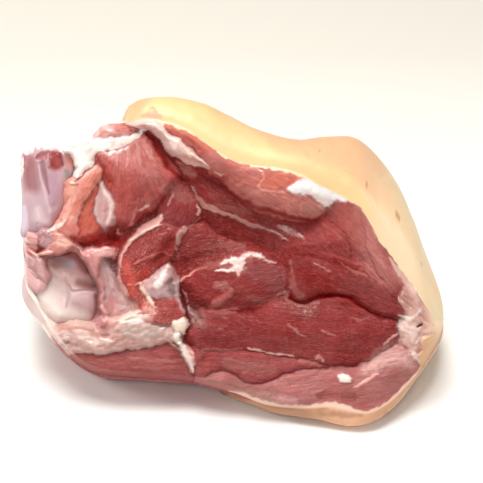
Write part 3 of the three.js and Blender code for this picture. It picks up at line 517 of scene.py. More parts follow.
MARKS = {
    "membrane_long": Mark([(-18, 34, 0.4), (-15, 29, 0.9), (-12, 26, 1.2), (-8, 23.5, 1.1), (-3, 21.3, 0.9),
        (2, 19.7, 0.9), (7, 17, 0.9), (12, 15.3, 0.8), (17, 13.5, 0.7), (21, 12, 0.5), (25, 10, 0.3)],
        "#BE857C", 0.85, 0.3, 0.7, 1),
    "membrane_haze": Mark([(-9, 25.5, 0.5), (-3, 24.5, 1), (3, 23, 1.8), (8, 22, 1.3)], "#A06058", 0.6, 0.7,
        0.2),
    "faint_patch": Mark([(21, 15.8, 0.8), (25, 14.2, 1.5), (29, 12.6, 1.2), (32, 10.5, 0.6)], "#B98078",
        0.8, 0.8, 0.2, 1),
    "crescent_film": Mark([(-31.5, 20.3, 1.2), (-34, 18.6, 1.7), (-38, 16.2, 1.7), (-42, 13, 1.3),
        (-45.5, 9.8, 1.1), (-48.5, 6, 0.9), (-50.5, 1.5, 0.8), (-51, -4, 0.7), (-50.3, -9, 0.8),
        (-48.5, -13, 0.9), (-46.8, -15.5, 0.5)], "#E3ADA4", 0.95, 0.3, 1.2, 1),
    "crescent_edge": Mark([(-46.5, 9.5, 0.4), (-43, 11.5, 0.6), (-39, 14, 0.7), (-35, 16.2, 0.6),
        (-31.5, 17.3, 0.4)], "#F0CCC0", 0.9, 0.2, 0.6, 1),
    "crescent_streak": Mark([(-44, 0, 0.4), (-40, 1.6, 0.8), (-36, 3, 0.7), (-32, 4.3, 0.5), (-28, 3, 0.4)],
        "#E08076", 0.8, 0.6, 0.4),
    "crescent_bright": Mark([(-47.5, 0, 1.5), (-46.5, -5, 3), (-44, -8, 3.5), (-41, -6, 2.5),
        (-38, -4, 1.5)], "#D2483C", 0.8, 0.7, 0.3, soft=0.9, specks=1),
    "crescent_tail": Mark([(-46, -11, 1.5), (-44, -15, 2.2), (-41, -18.5, 2)], "#DA6656", 0.8, 0.7,
        soft=0.9, specks=1),
    "crescent_cut": Mark([(-47, -9.4, 0.3), (-43.5, -9.8, 0.5), (-40.5, -8.8, 0.4), (-37.5, -7.6, 0.3)],
        "#F0B0A4", 0.8, 0.5, 0.3, 1),
    "crescent_dark": Mark([(-35, 0.5, 1.2), (-31, 3.5, 2.2), (-29.5, 7, 2), (-27.5, 10, 1.5)], "#86100E",
        0.85, 0.6, -0.8, soft=0.8, specks=0.1),
    "wedge_corner": Mark([(-26, -1, 2), (-23, -3, 3), (-21, 0, 2.5)], "#7E0F10", 0.85, 0.5, -0.6, soft=0.8,
        specks=0),
    "second_film": Mark([(-21.5, 15, 1.4), (-23, 12.8, 1.5), (-24, 10.5, 0.8), (-24.8, 8, 0.6),
        (-25.6, 5.5, 0.4)], "#CF9C94", 0.9, 0.3, 0.9, 1),
    "round_patch": Mark([(-31, 33, 1.5), (-26, 33, 3), (-22, 30, 3.2), (-18.5, 27.5, 1.5)], "#AC6A64", 0.75,
        0.9, 0.2),
    "round_crease": Mark([(-26.5, 34, 0.3), (-27, 30, 0.6), (-28.5, 26, 0.4)], "#C98880", 0.7, 0.4, 0.3, 1),
    "round_film": Mark([(-15.2, 26, 0.5), (-14.2, 23.5, 0.7), (-15.5, 21, 0.4)], "#E2B4AA", 0.9, 0.3, 0.6,
        1),
    "round_rim": Mark([(-31, 18.3, 0.4), (-27, 16.4, 0.4), (-22, 15.3, 0.4), (-17.5, 17.2, 0.5),
        (-14.5, 20, 0.4)], "#B4746C", 0.6, 0.5, 0.3),
    "tick_long": Mark([(-42.3, 28.5, 0.3), (-42, 26, 0.5), (-43, 23, 0.6), (-44.5, 19.5, 0.6),
        (-46, 16, 0.4)], "#D98E84", 0.9, 0.2, 0.8, 1),
    "tick_side": Mark([(-42, 23.5, 0.4), (-40, 24, 0.5), (-37.8, 25.3, 0.7)], "#F2C8BE", 0.9, 0.2, 0.8, 1),
    "tick_small": Mark([(-51.8, 15, 0.3), (-51, 13.5, 0.4), (-49.5, 12.5, 0.3)], "#E8A498", 0.8, 0.2, 0.5,
        1),
    "wedge_film": Mark([(-23.3, -8.2, 0.4), (-20, -6.2, 0.5), (-16.5, -3.8, 0.4), (-12, -2.3, 0.3)],
        "#F3A79B", 0.9, 0.3, 0.4, 1),
    "wedge_haze": Mark([(-15, -3, 1), (-10, -1.6, 1.6), (-5, -1, 1.6)], "#B26A64", 0.7, 0.7, soft=0.8),
    "wedge_specks": Mark([(-13, 6, 1.5), (-6, 8, 2), (0, 8.2, 2), (5, 7, 1.5)], "#A86460", 0.8, 1.3, 0.1),
    "wedge_red": Mark([(-24, 6, 2.5), (-18, 2, 4), (-12, 5, 3), (-8, 9, 2)], "#7E1A1A", 0.6, 0.7, soft=0.9,
        specks=0.5),
    "centre_haze": Mark([(-5, -1, 2), (1, -0.6, 3.4), (7, 1, 2.4)], "#C88880", 0.55, 0.9, soft=1,
        specks=0.6),
    "centre_white": Mark([(-5, -0.3, 0.6), (-2, 1, 1.2), (1.5, 0.4, 2.2), (4, -1, 2.1), (2, -3, 1.9),
        (0, -4, 1)], "#FBDED6", 0.95, 0.8, 0.4, 1),
    "centre_white_left": Mark([(-8, -4.4, 0.4), (-5, -4, 0.6), (-2, -3.7, 0.9), (1, -2.5, 1.2)], "#F4D2CA",
        0.95, 0.5, 0.4, 1),
    "centre_white_down": Mark([(1, -2, 1), (1.8, -4.5, 0.9), (2.5, -6, 0.7)], "#EFC8C0", 0.9, 0.5, 0.3, 1),
    "centre_white_arc": Mark([(3, 0.5, 1.2), (6.5, 3.2, 1.5), (10, 3.4, 1.3), (13, 2, 1), (16, 1, 0.8),
        (20, 0.2, 0.4)], "#E8C4BC", 0.9, 0.9, 0.4, 1),
    "centre_grey": Mark([(8, -4, 3), (14, -5, 5), (19, -7, 5), (21, -12, 3.5)], "#9A5658", 0.7, 0.6),
    "centre_grey_low": Mark([(8, -16, 1.5), (14, -17, 2), (19, -17, 1.5)], "#9C5C58", 0.6, 0.8),
    "centre_dark": Mark([(-22, -10, 1.5), (-19.5, -14, 3.2), (-16.5, -18, 3.5), (-12.5, -19, 2.5)],
        "#6A0209", 0.95, 0.4, -0.3, soft=0.8, specks=0),
    "centre_red_left": Mark([(-18, -9, 3), (-13, -11, 4.5), (-7, -14, 3)], "#92262A", 0.6, 0.6, soft=0.9),
    "inner_ridge": Mark([(0.5, -13, 0.9), (-1.5, -14.6, 1.4), (-4, -16.8, 1.5), (-7.5, -18.3, 1.5)],
        "#BE6E68", 0.85, 0.4, 1.5, specks=0.4),
    "inner_ridge_specks": Mark([(-7, -10.5, 1.2), (-4.5, -10.5, 1.8), (-2, -11.5, 1.5)], "#B8746E", 0.8, 1,
        0.2, specks=1.4),
    # painted shade in the gap under the centre muscle
    "shade_gap_under_centre": Mark([(-2, -22, 0.3), (4, -22.3, 0.6), (9, -21.6, 0.7), (14, -20.6, 0.4)],
        "#6E0606", 0.9, 0.4, -0.3, soft=0.7),
    "centre_corner": Mark([(21, -15, 0.8), (24.5, -14, 1), (24.5, -17, 0.9), (28, -18.8, 0.8), (33, -20, 1),
        (37, -18.4, 0.8)], "#B87C74", 0.8, 0.7, 0.3),
    "corner_specks": Mark([(24, -20, 1.5), (30, -22, 2.5), (35, -22, 3), (38, -19, 1.5)], "#9A5450", 0.8,
        0.9, 0.1, soft=0.8, specks=1.5),
    "flap_edge": Mark([(26.2, 1.5, 0.5), (26.3, -3, 0.6), (27, -6, 1), (27.3, -10, 1.4), (28.5, -13, 1.5),
        (31, -15.5, 1.2)], "#A46460", 0.7, 0.6, 0.2),
    "flap_streak": Mark([(37, -1, 0.3), (40, -2, 0.5), (44, -4, 0.4)], "#C08078", 0.8, 0.4, 0.3, 1),
    "flap_red": Mark([(32, -5, 3), (38, -8, 4.5), (44, -11, 3)], "#8C1C18", 0.8, 0.5, soft=0.9, specks=0),
    "top_end_light": Mark([(36, 24, 1.6), (40, 23.4, 2), (43, 24.6, 1.4)], "#C8958C", 0.75, 1.1, soft=0.8,
        specks=0.6),
    # painted shade in the seam along the top of the right-hand flap
    "flap_seam_shade": Mark([(26, 3, 0.3), (31, 3.4, 0.4), (36, 2.8, 0.6), (42, 1.2, 0.7), (49, -1.4, 0.8),
        (56, -4.2, 0.7), (62, -7.4, 0.7), (68, -11.6, 0.5), (73, -16, 0.4), (76, -20, 0.3)], "#640808",
        0.95, 0.5, -0.5, soft=0.8),
    "rim_fringe": Mark([(48, 28.4, 0.7), (54, 26.8, 1), (59.5, 22.5, 0.9), (62.5, 16.5, 0.8),
        (64.5, 11, 0.6)], "#F0C4B2", 0.7, 1, 0.1, 1, soft=0.8),
    "rim_line": Mark([(65, 10.6, 0.3), (67.3, 8, 0.4), (69.8, 5.4, 0.4)], "#9A4438", 0.8, 0.3, -0.3,
        soft=0.7),
    "flap_mauve": Mark([(54, -8, 3), (62, -13, 4), (70, -19, 3)], "#8C4646", 0.6, 0.5, soft=0.9,
        specks=0.1),
    "right_streak": Mark([(50, -1.5, 0.4), (56, -5, 0.6), (61, -7, 0.5)], "#BE7C72", 0.7, 0.6, 0.3),
    "right_light": Mark([(57, 23, 2), (60.5, 15, 3.5), (62, 6, 4.5), (65, -1, 5.5), (71, -8, 4.5)],
        "#D8918A", 0.9, 0.5, 0.3, soft=0.9, specks=0.1),
    "right_line_one": Mark([(57.5, 23, 0.3), (59.5, 15, 0.4), (60.5, 6, 0.4), (64, -2, 0.4), (69, -9, 0.3)],
        "#A85E58", 0.7, 0.4, -0.3, soft=0.7),
    "right_line_two": Mark([(45, 18, 0.4), (50, 14.5, 0.4), (53, 8, 0.4), (54, 1, 0.3)], "#8A3430", 0.7,
        0.4, -0.4, soft=0.8),
    "right_line_three": Mark([(42, 17, 0.3), (46, 14, 0.5), (50, 10, 0.4)], "#B5726A", 0.7, 0.8, 0.1),
    "right_light_up": Mark([(44, 25, 2.5), (50, 24, 4.5), (55, 18, 4.5), (57, 10, 3)], "#BE6E64", 0.75, 0.6,
        soft=0.9, specks=0.1),
    "rim_fat_right": Mark([(71, 2, 0.5), (74, -3, 1.2), (78, -8, 2), (82, -13, 2)], "#E8BFB0", 0.85, 0.7,
        0.2, 1),
    "top_orange_left": Mark([(-29, 62.5, 1.5), (-24, 60, 2), (-19, 57, 2.5), (-14, 54, 2), (-9, 50.5, 1.5)],
        "#E48672", 0.85, 0.6),
    "top_red_streak": Mark([(-21, 57, 0.6), (-17, 54, 1), (-13, 50, 1)], "#CE5A48", 0.8, 0.5),
    "top_orange": Mark([(14, 36, 2.5), (20, 35.5, 3.8), (26, 36.5, 3), (31, 38.3, 1)], "#E0806A", 0.92,
        0.35, 0.3),
    "top_mid": Mark([(-4, 43, 2), (4, 38, 3.5), (9, 34, 3)], "#C06A5E", 0.7, 0.7),
    "top_vein": Mark([(9, 42.5, 0.3), (13, 40, 0.5), (14.5, 37.5, 0.5), (12, 34, 0.4), (17, 31.5, 0.4),
        (24, 30.8, 0.5)], "#E8A090", 0.8, 0.7, 0.2, 1),
    "top_low": Mark([(10, 29, 2), (18, 27, 3), (26, 25, 3), (34, 23, 2.5)], "#B4695E", 0.7, 0.8),
    "fat_patch": Mark([(26, 32.4, 1.2), (30, 33.6, 2.8), (35, 34.4, 4.1), (40, 33, 4.1), (45, 31.2, 3.2),
        (51, 29.4, 2.2)], "#FFFFFF", 1, 0.25, 1.2, 1),
    "fat_patch_foot": Mark([(36.5, 30, 1.2), (40, 29, 2.2), (43, 27.6, 2.5), (41.5, 25.8, 1.4)], "#FFF4F0",
        0.95, 0.8, 0.4, 1),
    "top_end_low": Mark([(28, 25.2, 1.6), (34, 24.6, 2.6), (39, 25.2, 2)], "#D28F82", 0.6, 0.8, soft=0.9,
        specks=0.6),
    # painted light in the pocket under the tendon, which lies in shade
    "painted_light_under_tendon": Mark([(-24.5, 45.6, 0.8), (-20.5, 42.2, 1.6), (-17, 39.6, 1.2)], "#EE968C", 0.65, 0.8,
        soft=0.9, specks=0.5),
    "tendon_fold": Mark([(-35, 60.5, 0.4), (-31, 56.6, 0.6), (-28, 52.4, 0.6), (-24.6, 50, 0.4)], "#E0A598",
        0.7, 0.6, -0.4, 1, soft=0.8),
    "tendon_end": Mark([(-22, 49, 1), (-18, 47.4, 1.2), (-14, 45, 0.8)], "#C79A90", 0.7, 0.7, -0.3, 1,
        soft=0.8),
    # painted light along the tendon's lower left side, which faces away from the lamps
    "tendon_painted_light": Mark([(-38, 61.6, 0.7), (-33, 59.4, 1), (-30.2, 56, 1.3), (-28.6, 53, 1.6),
        (-25.6, 51, 1.3), (-21.6, 49.4, 0.8)], "#FFE6DE", 0.85, 0.5, 0, 1, soft=0.7),
    # painted highlight along the top of the tendon
    "tendon_painted_highlight": Mark([(-43, 64, 0.8), (-37.5, 64, 1), (-33, 62.4, 1.1), (-30, 58.8, 1), (-27, 55.6, 1),
        (-24.5, 53.8, 0.8)], "#F8E4D8", 0.8, 0.6, 0.4, 1, soft=0.7),
    "lump_red": Mark([(-51, 60.6, 1.4), (-48, 60.2, 2), (-45, 59.2, 1.6)], "#DE7266", 0.85, 0.9, soft=0.8,
        specks=1),
    "lump_blotch": Mark([(-58, 58.5, 1.4), (-54, 58, 1.8), (-51, 57.4, 1)], "#EFA49C", 0.7, 1.4, -0.3,
        soft=0.7, specks=1.2),
    "lump_line": Mark([(-47.5, 61.2, 0.3), (-45.6, 59.8, 0.5), (-43.4, 58.9, 0.5), (-41.5, 58.6, 0.3)],
        "#A23C30", 0.7, 0.5, -0.3, soft=0.6),
    "lump_white": Mark([(-60.5, 58, 1), (-59, 60.6, 1.6), (-56, 60.6, 1.8), (-54, 58.4, 1)], "#F4D0CA",
        0.75, 1.5, 0.3, 1, soft=0.8),
    "tendon_rim": Mark([(-22, 52.4, 0.4), (-18, 49.2, 0.5), (-14, 46, 0.5), (-11, 43.2, 0.4)], "#FBDCD2",
        0.85, 0.5, 0.5, 1),
    # painted shadow under the lower edge of the long top muscle
    "shadow_under_top_muscle": Mark([(-5, 35.5, 0.4), (0, 31.5, 0.7), (5, 28, 0.9), (10, 25.3, 1), (18, 22.6, 1),
        (26, 20.3, 1.1), (33, 19.3, 0.9), (38, 19.6, 0.4)], "#8E1412", 0.9, 0.2, -0.5, soft=0.7, specks=0),
    "tendon_tip": Mark([(-7.5, 40.6, 0.3), (-5.5, 39.6, 0.5), (-4, 39.4, 0.3)], "#F2C4B6", 0.9, 0.2, 0.8,
        1),
    # painted shadow in the cleft between the fan and the tendon
    "valley_painted_shadow": Mark([(-39, 58.8, 0.5), (-35.5, 55.6, 1.3), (-33, 50.5, 1.5), (-30, 45.5, 1.3),
        (-26.5, 41, 0.9), (-22, 37.5, 0.5)], "#960E0C", 0.95, 0.3, -1.2, soft=0.7, specks=0),
    "fan_light": Mark([(-54, 47.5, 1.8), (-49, 47.5, 3.2), (-44, 49, 3.8), (-40, 51, 3), (-37, 49, 2)],
        "#E0938E", 0.75, 0.9, soft=0.9, specks=0.9),
    "fan_light_low": Mark([(-41, 44, 2.5), (-38, 42, 3), (-35, 38, 2)], "#CE827C", 0.7, 1),
    "fan_ray_one": Mark([(-50, 51.5, 0.5), (-50.8, 47, 0.5), (-51.5, 42, 0.3)], "#EFB9B2", 0.4, 0.9, 0.5),
    "fan_ray_two": Mark([(-46, 53, 0.5), (-46.3, 48, 0.6), (-46.6, 43, 0.3)], "#F3C3BC", 0.4, 0.9, 0.5),
    "fan_ray_three": Mark([(-42.5, 54, 0.6), (-41.5, 49, 0.7), (-40.7, 44, 0.4)], "#F3C3BC", 0.4, 0.9, 0.5),
    "fan_ray_four": Mark([(-39.5, 54.5, 0.8), (-37.6, 50, 1), (-35.5, 46, 0.7), (-34, 43, 0.4)], "#EDB8B0",
        0.4, 1, 0.5),
    "fan_edge_soft": Mark([(-58, 49.4, 0.8), (-54, 48.8, 1.2), (-49, 50, 1.3), (-44.5, 53, 1.1),
        (-41, 56, 0.7)], "#F0B8B2", 0.45, 1.3, soft=0.9, specks=1),
    "fan_edge_teeth": Mark([(-58, 49.8, 0.5), (-55, 49, 0.7), (-53, 50.3, 0.5), (-51, 49.4, 0.6),
        (-47, 51.6, 0.5)], "#FBE2DC", 0.75, 1.8, 0.1, 1, soft=0.7),
    "fan_groove": Mark([(-60.5, 48, 0.5), (-58.5, 44.5, 0.8), (-57, 40.5, 0.7), (-55.5, 36, 0.4)],
        "#A03A34", 0.8, 0.3, -0.8),
    "fan_left_warm": Mark([(-58, 42.6, 0.8), (-55.8, 39.4, 1.4), (-53.6, 34.5, 1.2)], "#AC3A2A", 0.8, 0.8,
        soft=0.9, specks=0.3),
    "band_right_dark": Mark([(8, 11, 1.3), (17, 7, 2), (25, 4.4, 2), (32, 5.4, 1.2)], "#7A1A16", 0.5, 0.8,
        soft=0.9),
    "fan_dark": Mark([(-50, 30, 3), (-47, 24, 4), (-44, 27, 4), (-39, 31, 4)], "#9C3430", 0.7, 0.6,
        soft=0.9),
    "flap_pale": Mark([(-72.8, 34, 1.2), (-72, 31, 1.6), (-71.6, 27, 1.5), (-73.6, 22.5, 1.2),
        (-75.6, 18.5, 1)], "#FFBCA8", 0.8, 0.4, 0.3, soft=0.7, specks=0.1),
    "flap_knob": Mark([(-73.2, 35.6, 0.8), (-71.2, 36.3, 1.1), (-69.6, 35.6, 0.8)], "#FFD3BE", 0.9, 0.2,
        1.2, 1),
    "flap_curl": Mark([(-71.6, 36.6, 0.25), (-70.2, 36.4, 0.4), (-69.2, 35.2, 0.3)], "#9E4A30", 0.9, 0.2,
        -0.4),
    "flap_edge_pink": Mark([(-67.5, 38.4, 0.6), (-64.5, 41, 0.9), (-62, 43.2, 0.7)], "#F6BFB6", 0.8, 0.6,
        0.2, 1, soft=0.7),
    "flap_orange": Mark([(-60, 41, 1.4), (-62.5, 37, 2), (-65.5, 32.5, 2), (-68.5, 27.5, 1.5),
        (-71, 22, 1)], "#E88068", 0.7, 0.5, soft=0.8),
    "flap_fold": Mark([(-62, 32, 0.4), (-65, 28, 0.6), (-67.3, 25.3, 0.5)], "#C4553E", 0.6, 0.3, soft=0.8),
    "flap_pink_low": Mark([(-75.5, 16, 1.5), (-72.5, 15.5, 2.5), (-69.5, 12.5, 2)], "#DE6E64", 0.8, 0.7,
        0.2, soft=0.8, specks=1),
    "teardrop_rim": Mark([(-58.6, 35.5, 0.6), (-56.8, 32, 1), (-54.8, 28.5, 1), (-53.9, 24.8, 0.9),
        (-54.8, 20.8, 0.7), (-56.8, 17.8, 0.5)], "#F3DAD0", 0.85, 0.7, 0.4, 1, soft=0.9),
    "teardrop_shine": Mark([(-60.5, 30, 0.5), (-61.5, 26, 0.8), (-61.6, 22, 0.8), (-60, 18.5, 0.7)],
        "#D9B7B2", 0.7, 1, 0, 1, soft=0.9),
    "knot_red": Mark([(-93, 4, 0.8), (-90.5, 4.8, 1.6), (-88, 5.4, 1.1), (-86, 6.6, 0.6)], "#C8564A", 0.85,
        0.8, -0.5, soft=0.7, specks=1),
    "knot_red_right": Mark([(-73, 12, 0.6), (-71, 11.6, 1.2), (-69.3, 9.6, 0.9)], "#C24C44", 0.85, 0.7,
        soft=0.7, specks=0.8),
    "knot_low": Mark([(-92, 2, 0.6), (-88.5, 3.4, 1), (-84.5, 4.6, 0.9), (-81, 5, 0.5)], "#EFC9BE", 0.85,
        0.4, 0.8, 1),
    "knot_fold": Mark([(-95, 8.6, 0.4), (-92.5, 8, 0.7), (-90.2, 9.6, 0.4)], "#A0504E", 0.7, 0.8, -0.9, 1),
    "knot_shade": Mark([(-93.5, 12.6, 0.6), (-91.6, 10.8, 0.9), (-89.4, 12.4, 0.7)], "#B87674", 0.75, 1.2,
        -0.4, 1, soft=0.7),
    "knot_cream": Mark([(-79, 9.5, 1), (-76, 9.5, 2), (-73, 8.5, 1.2)], "#F3C4AE", 0.8, 0.6, 0.3, 1),
    "knot_crease": Mark([(-88, 13, 0.5), (-87.7, 9, 0.6), (-85, 6.5, 0.4)], "#B96D6C", 0.8, 0.4, -0.9),
    "knot_wisp": Mark([(-83, 14.6, 0.5), (-80, 15.8, 0.9), (-77.3, 17.4, 1), (-75.2, 18.8, 0.5)], "#F8E8E0",
        0.9, 0.4, 0.8, 1),
    "blood_one": Mark([(-69, 10.8, 0.6), (-64, 11, 1.2), (-58, 11.2, 1.6), (-53, 9, 1.6), (-50, 5.5, 1)],
        "#9A0C0A", 0.85, 0.8, -0.4, soft=0.8, specks=0.4),
    "blood_two": Mark([(-56, 15, 1), (-51, 16.8, 1.6), (-47, 14, 1.4)], "#A02020", 0.7, 0.7, soft=0.8,
        specks=0.4),
    "blood_three": Mark([(-67, 8.6, 0.8), (-62, 9.4, 1.8), (-56, 8.4, 2), (-51.5, 8.2, 2.2),
        (-49, 12, 1.5)], "#A01412", 0.85, 0.6, 0.2, soft=0.8),
    "blood_bright": Mark([(-64, 11, 0.9), (-60, 11.2, 1.4), (-57, 12, 0.9)], "#D84444", 0.8, 0.9, 0.3,
        soft=0.8, specks=0.5),
    "blood_deep": Mark([(-56, 8, 1), (-53.6, 9.2, 1.3), (-51, 11.4, 1)], "#7A0606", 0.85, 0.9, -0.3,
        soft=0.7, specks=0),
    "strip": Mark([(-64.5, 3, 1.8), (-62.8, 0, 1.9), (-61.2, -4, 1.6), (-60, -8, 1.3), (-59, -13, 1.1),
        (-58.4, -18, 1.1), (-57.6, -23, 1.2), (-57.4, -28, 1)], "#C4807E", 0.95, 0.3, 2, 1),
    "strip_light": Mark([(-63, 5.9, 0.4), (-59, 6, 0.6), (-55, 6.4, 0.5)], "#F8D0C8", 0.8, 0.4, 0.4, 1),
    "strip_frays": Mark([(-58.6, -19, 0.5), (-57.2, -23, 0.8), (-55.6, -26.4, 0.7)], "#F2BDB4", 0.8, 0.9,
        0.5, 1),
    "facet_left": Mark([(-57.5, 0, 1), (-56.5, -5, 1.8), (-55.5, -11, 2.2), (-55.5, -17, 1.5)], "#BE9696",
        0.8, 0.1, 0, 1, soft=0.9),
    "facet_spongy": Mark([(-57, 1.8, 0.8), (-54.5, 0.4, 1.8), (-52.7, -2.8, 1.6), (-52, -5.8, 0.7)],
        "#744A48", 0.9, 0.8, specks=1.8),
    "facet_pink": Mark([(-54.5, -15, 1), (-53, -19, 1.8), (-53.5, -23, 1.5)], "#CC827C", 0.85, 0.3, 0, 1,
        soft=0.9),
    "facet_light": Mark([(-49.5, -13, 1), (-48.5, -18, 2), (-45, -20, 2)], "#CFA39B", 0.7, 0.2, 0, 1,
        soft=0.9),
    # painted highlight along the top edge of the ledge
    "ledge_rim_highlight": Mark([(-51, -26.5, 0.8), (-48, -24.8, 1.1), (-45, -23.3, 1), (-42, -22.3, 0.8)], "#F8D6C4",
        0.95, 0.3, 1, 1),
    "ledge_bright": Mark([(-50, -26.6, 0.7), (-45.5, -25.4, 1.1), (-41.5, -24.8, 1.3), (-38, -24.6, 1)],
        "#FFF1E2", 0.9, 0.6, 0.5, 1),
    "ledge_shade": Mark([(-36, -28.2, 0.4), (-32, -28.8, 0.7), (-28, -28.6, 0.5)], "#B0857A", 0.7, 0.3,
        -0.6, 1),
    "ledge_light": Mark([(-74, -33, 1.5), (-68, -33, 3), (-62, -35.5, 2)], "#EFD2C8", 0.8, 0.6, 0, 1),
    "ledge_grey": Mark([(-47, -31, 2.5), (-41, -31, 3.6), (-34, -32, 2.6)], "#C2A99E", 0.8, 0.6, 0, 1,
        soft=0.8),
    "ledge_mottle": Mark([(-80, -33.5, 1.5), (-74, -35.5, 2.6), (-66, -38, 2)], "#BE948A", 0.65, 1.3, -0.3,
        1, soft=0.7),
    "ledge_brown": Mark([(-78, -30.8, 0.4), (-72, -29, 0.7), (-68, -28.8, 0.6), (-64, -30.5, 0.6),
        (-60, -32.5, 0.5), (-55, -32.8, 0.4)], "#B47E6C", 0.8, 0.6, -0.7, 1),
    "ledge_pit": Mark([(-75.5, -36.8, 0.8), (-74, -36.2, 1.1)], "#AD7F72", 0.9, 0.4, -1.2, 1),
    "ledge_dots": Mark([(-60, -38, 0.8), (-55, -37.5, 1.5), (-52, -36, 1)], "#C48E84", 0.6, 1.3, -0.2, 1),
    "ledge_left": Mark([(-90, -23.5, 0.8), (-86, -27, 2), (-82, -31.5, 2.5), (-78, -35.5, 2)], "#F3DACD",
        0.8, 0.5, 0, 1),
    "bone_side": Mark([(-60.6, -15, 0.6), (-60.4, -19, 1.2), (-60.8, -23, 1.8), (-60, -27, 2.4),
        (-57.5, -28.5, 1.4)], "#BD8A8A", 0.85, 0.7, 0.4, soft=0.7),
    "bone_side_flecks": Mark([(-59, -24.5, 0.4), (-57.6, -26, 0.6), (-56, -25.4, 0.4)], "#E8C0BA", 0.8, 0.8,
        0.3, 1),
    "knob_strip": Mark([(-41.2, -9.3, 0.5), (-40.8, -12, 0.8), (-38.8, -15, 1), (-36.2, -18, 0.8),
        (-35, -20, 0.4)], "#FBDCC4", 0.95, 0.3, 0.9, 1),
    # painted shade in the dimple of the gristle knob
    "knob_dimple_shade": Mark([(-27.2, -9, 1.2), (-27.6, -11.2, 2.2), (-26.8, -13.6, 1.5)], "#6E444C", 0.85, 0.1,
        -1.3, 1, soft=0.8),
    "knob_low": Mark([(-36, -14.5, 1.2), (-32, -15, 1.6), (-28, -15.8, 1.2)], "#CE9A9C", 0.8, 0.6, 0, 1,
        soft=0.9),
    "knob_white": Mark([(-30, -4, 1), (-32.5, -7.5, 2), (-33.5, -11, 1.6)], "#FFF6F2", 0.7, 0.7, 0.3, 1,
        soft=0.8),
    "lump_rim": Mark([(-25, -16.6, 0.8), (-23, -19.5, 0.9), (-21.6, -23, 0.7)], "#CFA2A4", 0.85, 0.3, 0.4,
        1, soft=0.6),
    "knob_cream": Mark([(-29.4, -2.2, 0.5), (-28.4, -1.2, 0.7), (-27.6, -2, 0.5)], "#FFE6D6", 0.9, 0.3, 0.4,
        1),
    "lump_light": Mark([(-39.5, -19, 1.4), (-37.3, -21.8, 2.2), (-37.5, -25, 1.8)], "#EFB5AA", 0.8, 1.5,
        0.1, 1, soft=0.9),
    "silver_patch": Mark([(-18.6, -22.4, 1.6), (-16.4, -25.4, 3.4), (-14, -27, 3)], "#A67E79", 0.75, 0.7,
        0.3, soft=1),
    "silver_light": Mark([(-16.5, -24.5, 0.4), (-14.5, -26.5, 0.7), (-14, -28.6, 0.5)], "#BC968F", 0.6, 1.2,
        0.1, soft=0.8),
    # painted shade in the gap right of the gristle knob
    "shade_gap_right_of_knob": Mark([(-23.5, -9, 0.3), (-23.3, -13, 0.5), (-22.6, -17, 0.7), (-21.3, -21, 0.7),
        (-20, -25, 0.7), (-19.2, -28.5, 0.6), (-20.5, -31.5, 0.5)], "#5A0606", 0.95, 0.3, -0.8, specks=0),
    "knob_string": Mark([(-22.4, -12, 0.2), (-21, -16.5, 0.3), (-19.6, -21, 0.35), (-17.6, -24.6, 0.25)],
        "#C08C88", 0.85, 0.1, 0.4, 1),
    # painted shade in the gap under the end knob
    "shade_gap_under_knob": Mark([(-22.8, -33.4, 0.5), (-20.5, -34, 1.3), (-18.3, -36.5, 1.7),
        (-17.2, -39.5, 0.8)], "#7A0C0C", 0.85, 0.3, -0.8, soft=0.7, specks=0),
    "tail_ball": Mark([(-24.9, -33.4, 1.5), (-24.4, -34.6, 1.8), (-24.1, -35.6, 1.5)], "#FFF3E6", 1, 0.25,
        2.4, 1),
    "tail": Mark([(-23.8, -36.2, 0.9), (-22.2, -38.2, 1.5), (-20.6, -41.5, 1.6), (-19.2, -45, 1.4),
        (-18, -49.3, 0.6)], "#FFF6EC", 1, 0, 3.2, 1),
    "tail_pink": Mark([(-20.6, -37.4, 0.6), (-18.6, -40.5, 0.9), (-17.5, -44, 0.9), (-17.3, -46.5, 0.5)],
        "#E6A99C", 0.9, 0.2, 1.6, 1),
    "tail_strip": Mark([(-30, -35.3, 0.4), (-27.5, -36.6, 0.6), (-25, -38.2, 0.6), (-23.5, -39.5, 0.4)],
        "#E9B8AA", 0.9, 0.2, 0.9, 1),
    "line_low_white": Mark([(7, -38.8, 0.3), (10, -39.6, 0.6), (14, -40.6, 0.4), (19, -41.2, 0.6),
        (24, -41.8, 0.3), (28, -43.4, 0.3)], "#E6B0A6", 0.9, 0.5, 0.6, 1),
    "line_low_left": Mark([(-14, -39, 0.5), (-8, -39.4, 0.7), (-2, -39.8, 0.6), (5, -39.3, 0.4)], "#B87870",
        0.7, 0.6, 0.4),
    "low_fleck_one": Mark([(24.5, -28.8, 0.4), (27, -30, 0.6), (30, -32.8, 0.5), (33, -33.5, 0.3)],
        "#B97C76", 0.75, 0.7, 0.2, 1),
    "low_fleck_two": Mark([(40, -31, 0.3), (43, -32.5, 0.5), (46, -33, 0.3)], "#B47068", 0.8, 0.5, 0.2, 1),
    "low_fleck_three": Mark([(53, -25.5, 0.3), (57, -26.3, 0.5), (61, -25.8, 0.3)], "#B0665E", 0.7, 0.6,
        0.2, 1),
    "low_fleck_four": Mark([(37.5, -44, 0.4), (39.5, -42.8, 0.9), (41, -44.5, 0.5)], "#D39A92", 0.7, 0.8,
        0.2, 1),
    "lobe_point": Mark([(30, -45, 0.7), (35, -45.6, 1.3), (39, -46.5, 1)], "#C88880", 0.7, 0.7, 0.2),
    "lobe_light": Mark([(-4, -45, 1.5), (4, -46.5, 2.5), (12, -48, 3), (18, -48, 2)], "#AE706A", 0.7, 0.8),
    "pocket_red": Mark([(-13, -43, 1.2), (-14, -46, 1.5), (-14.5, -48.5, 1)], "#9A4642", 0.7, 0.6, -0.6),
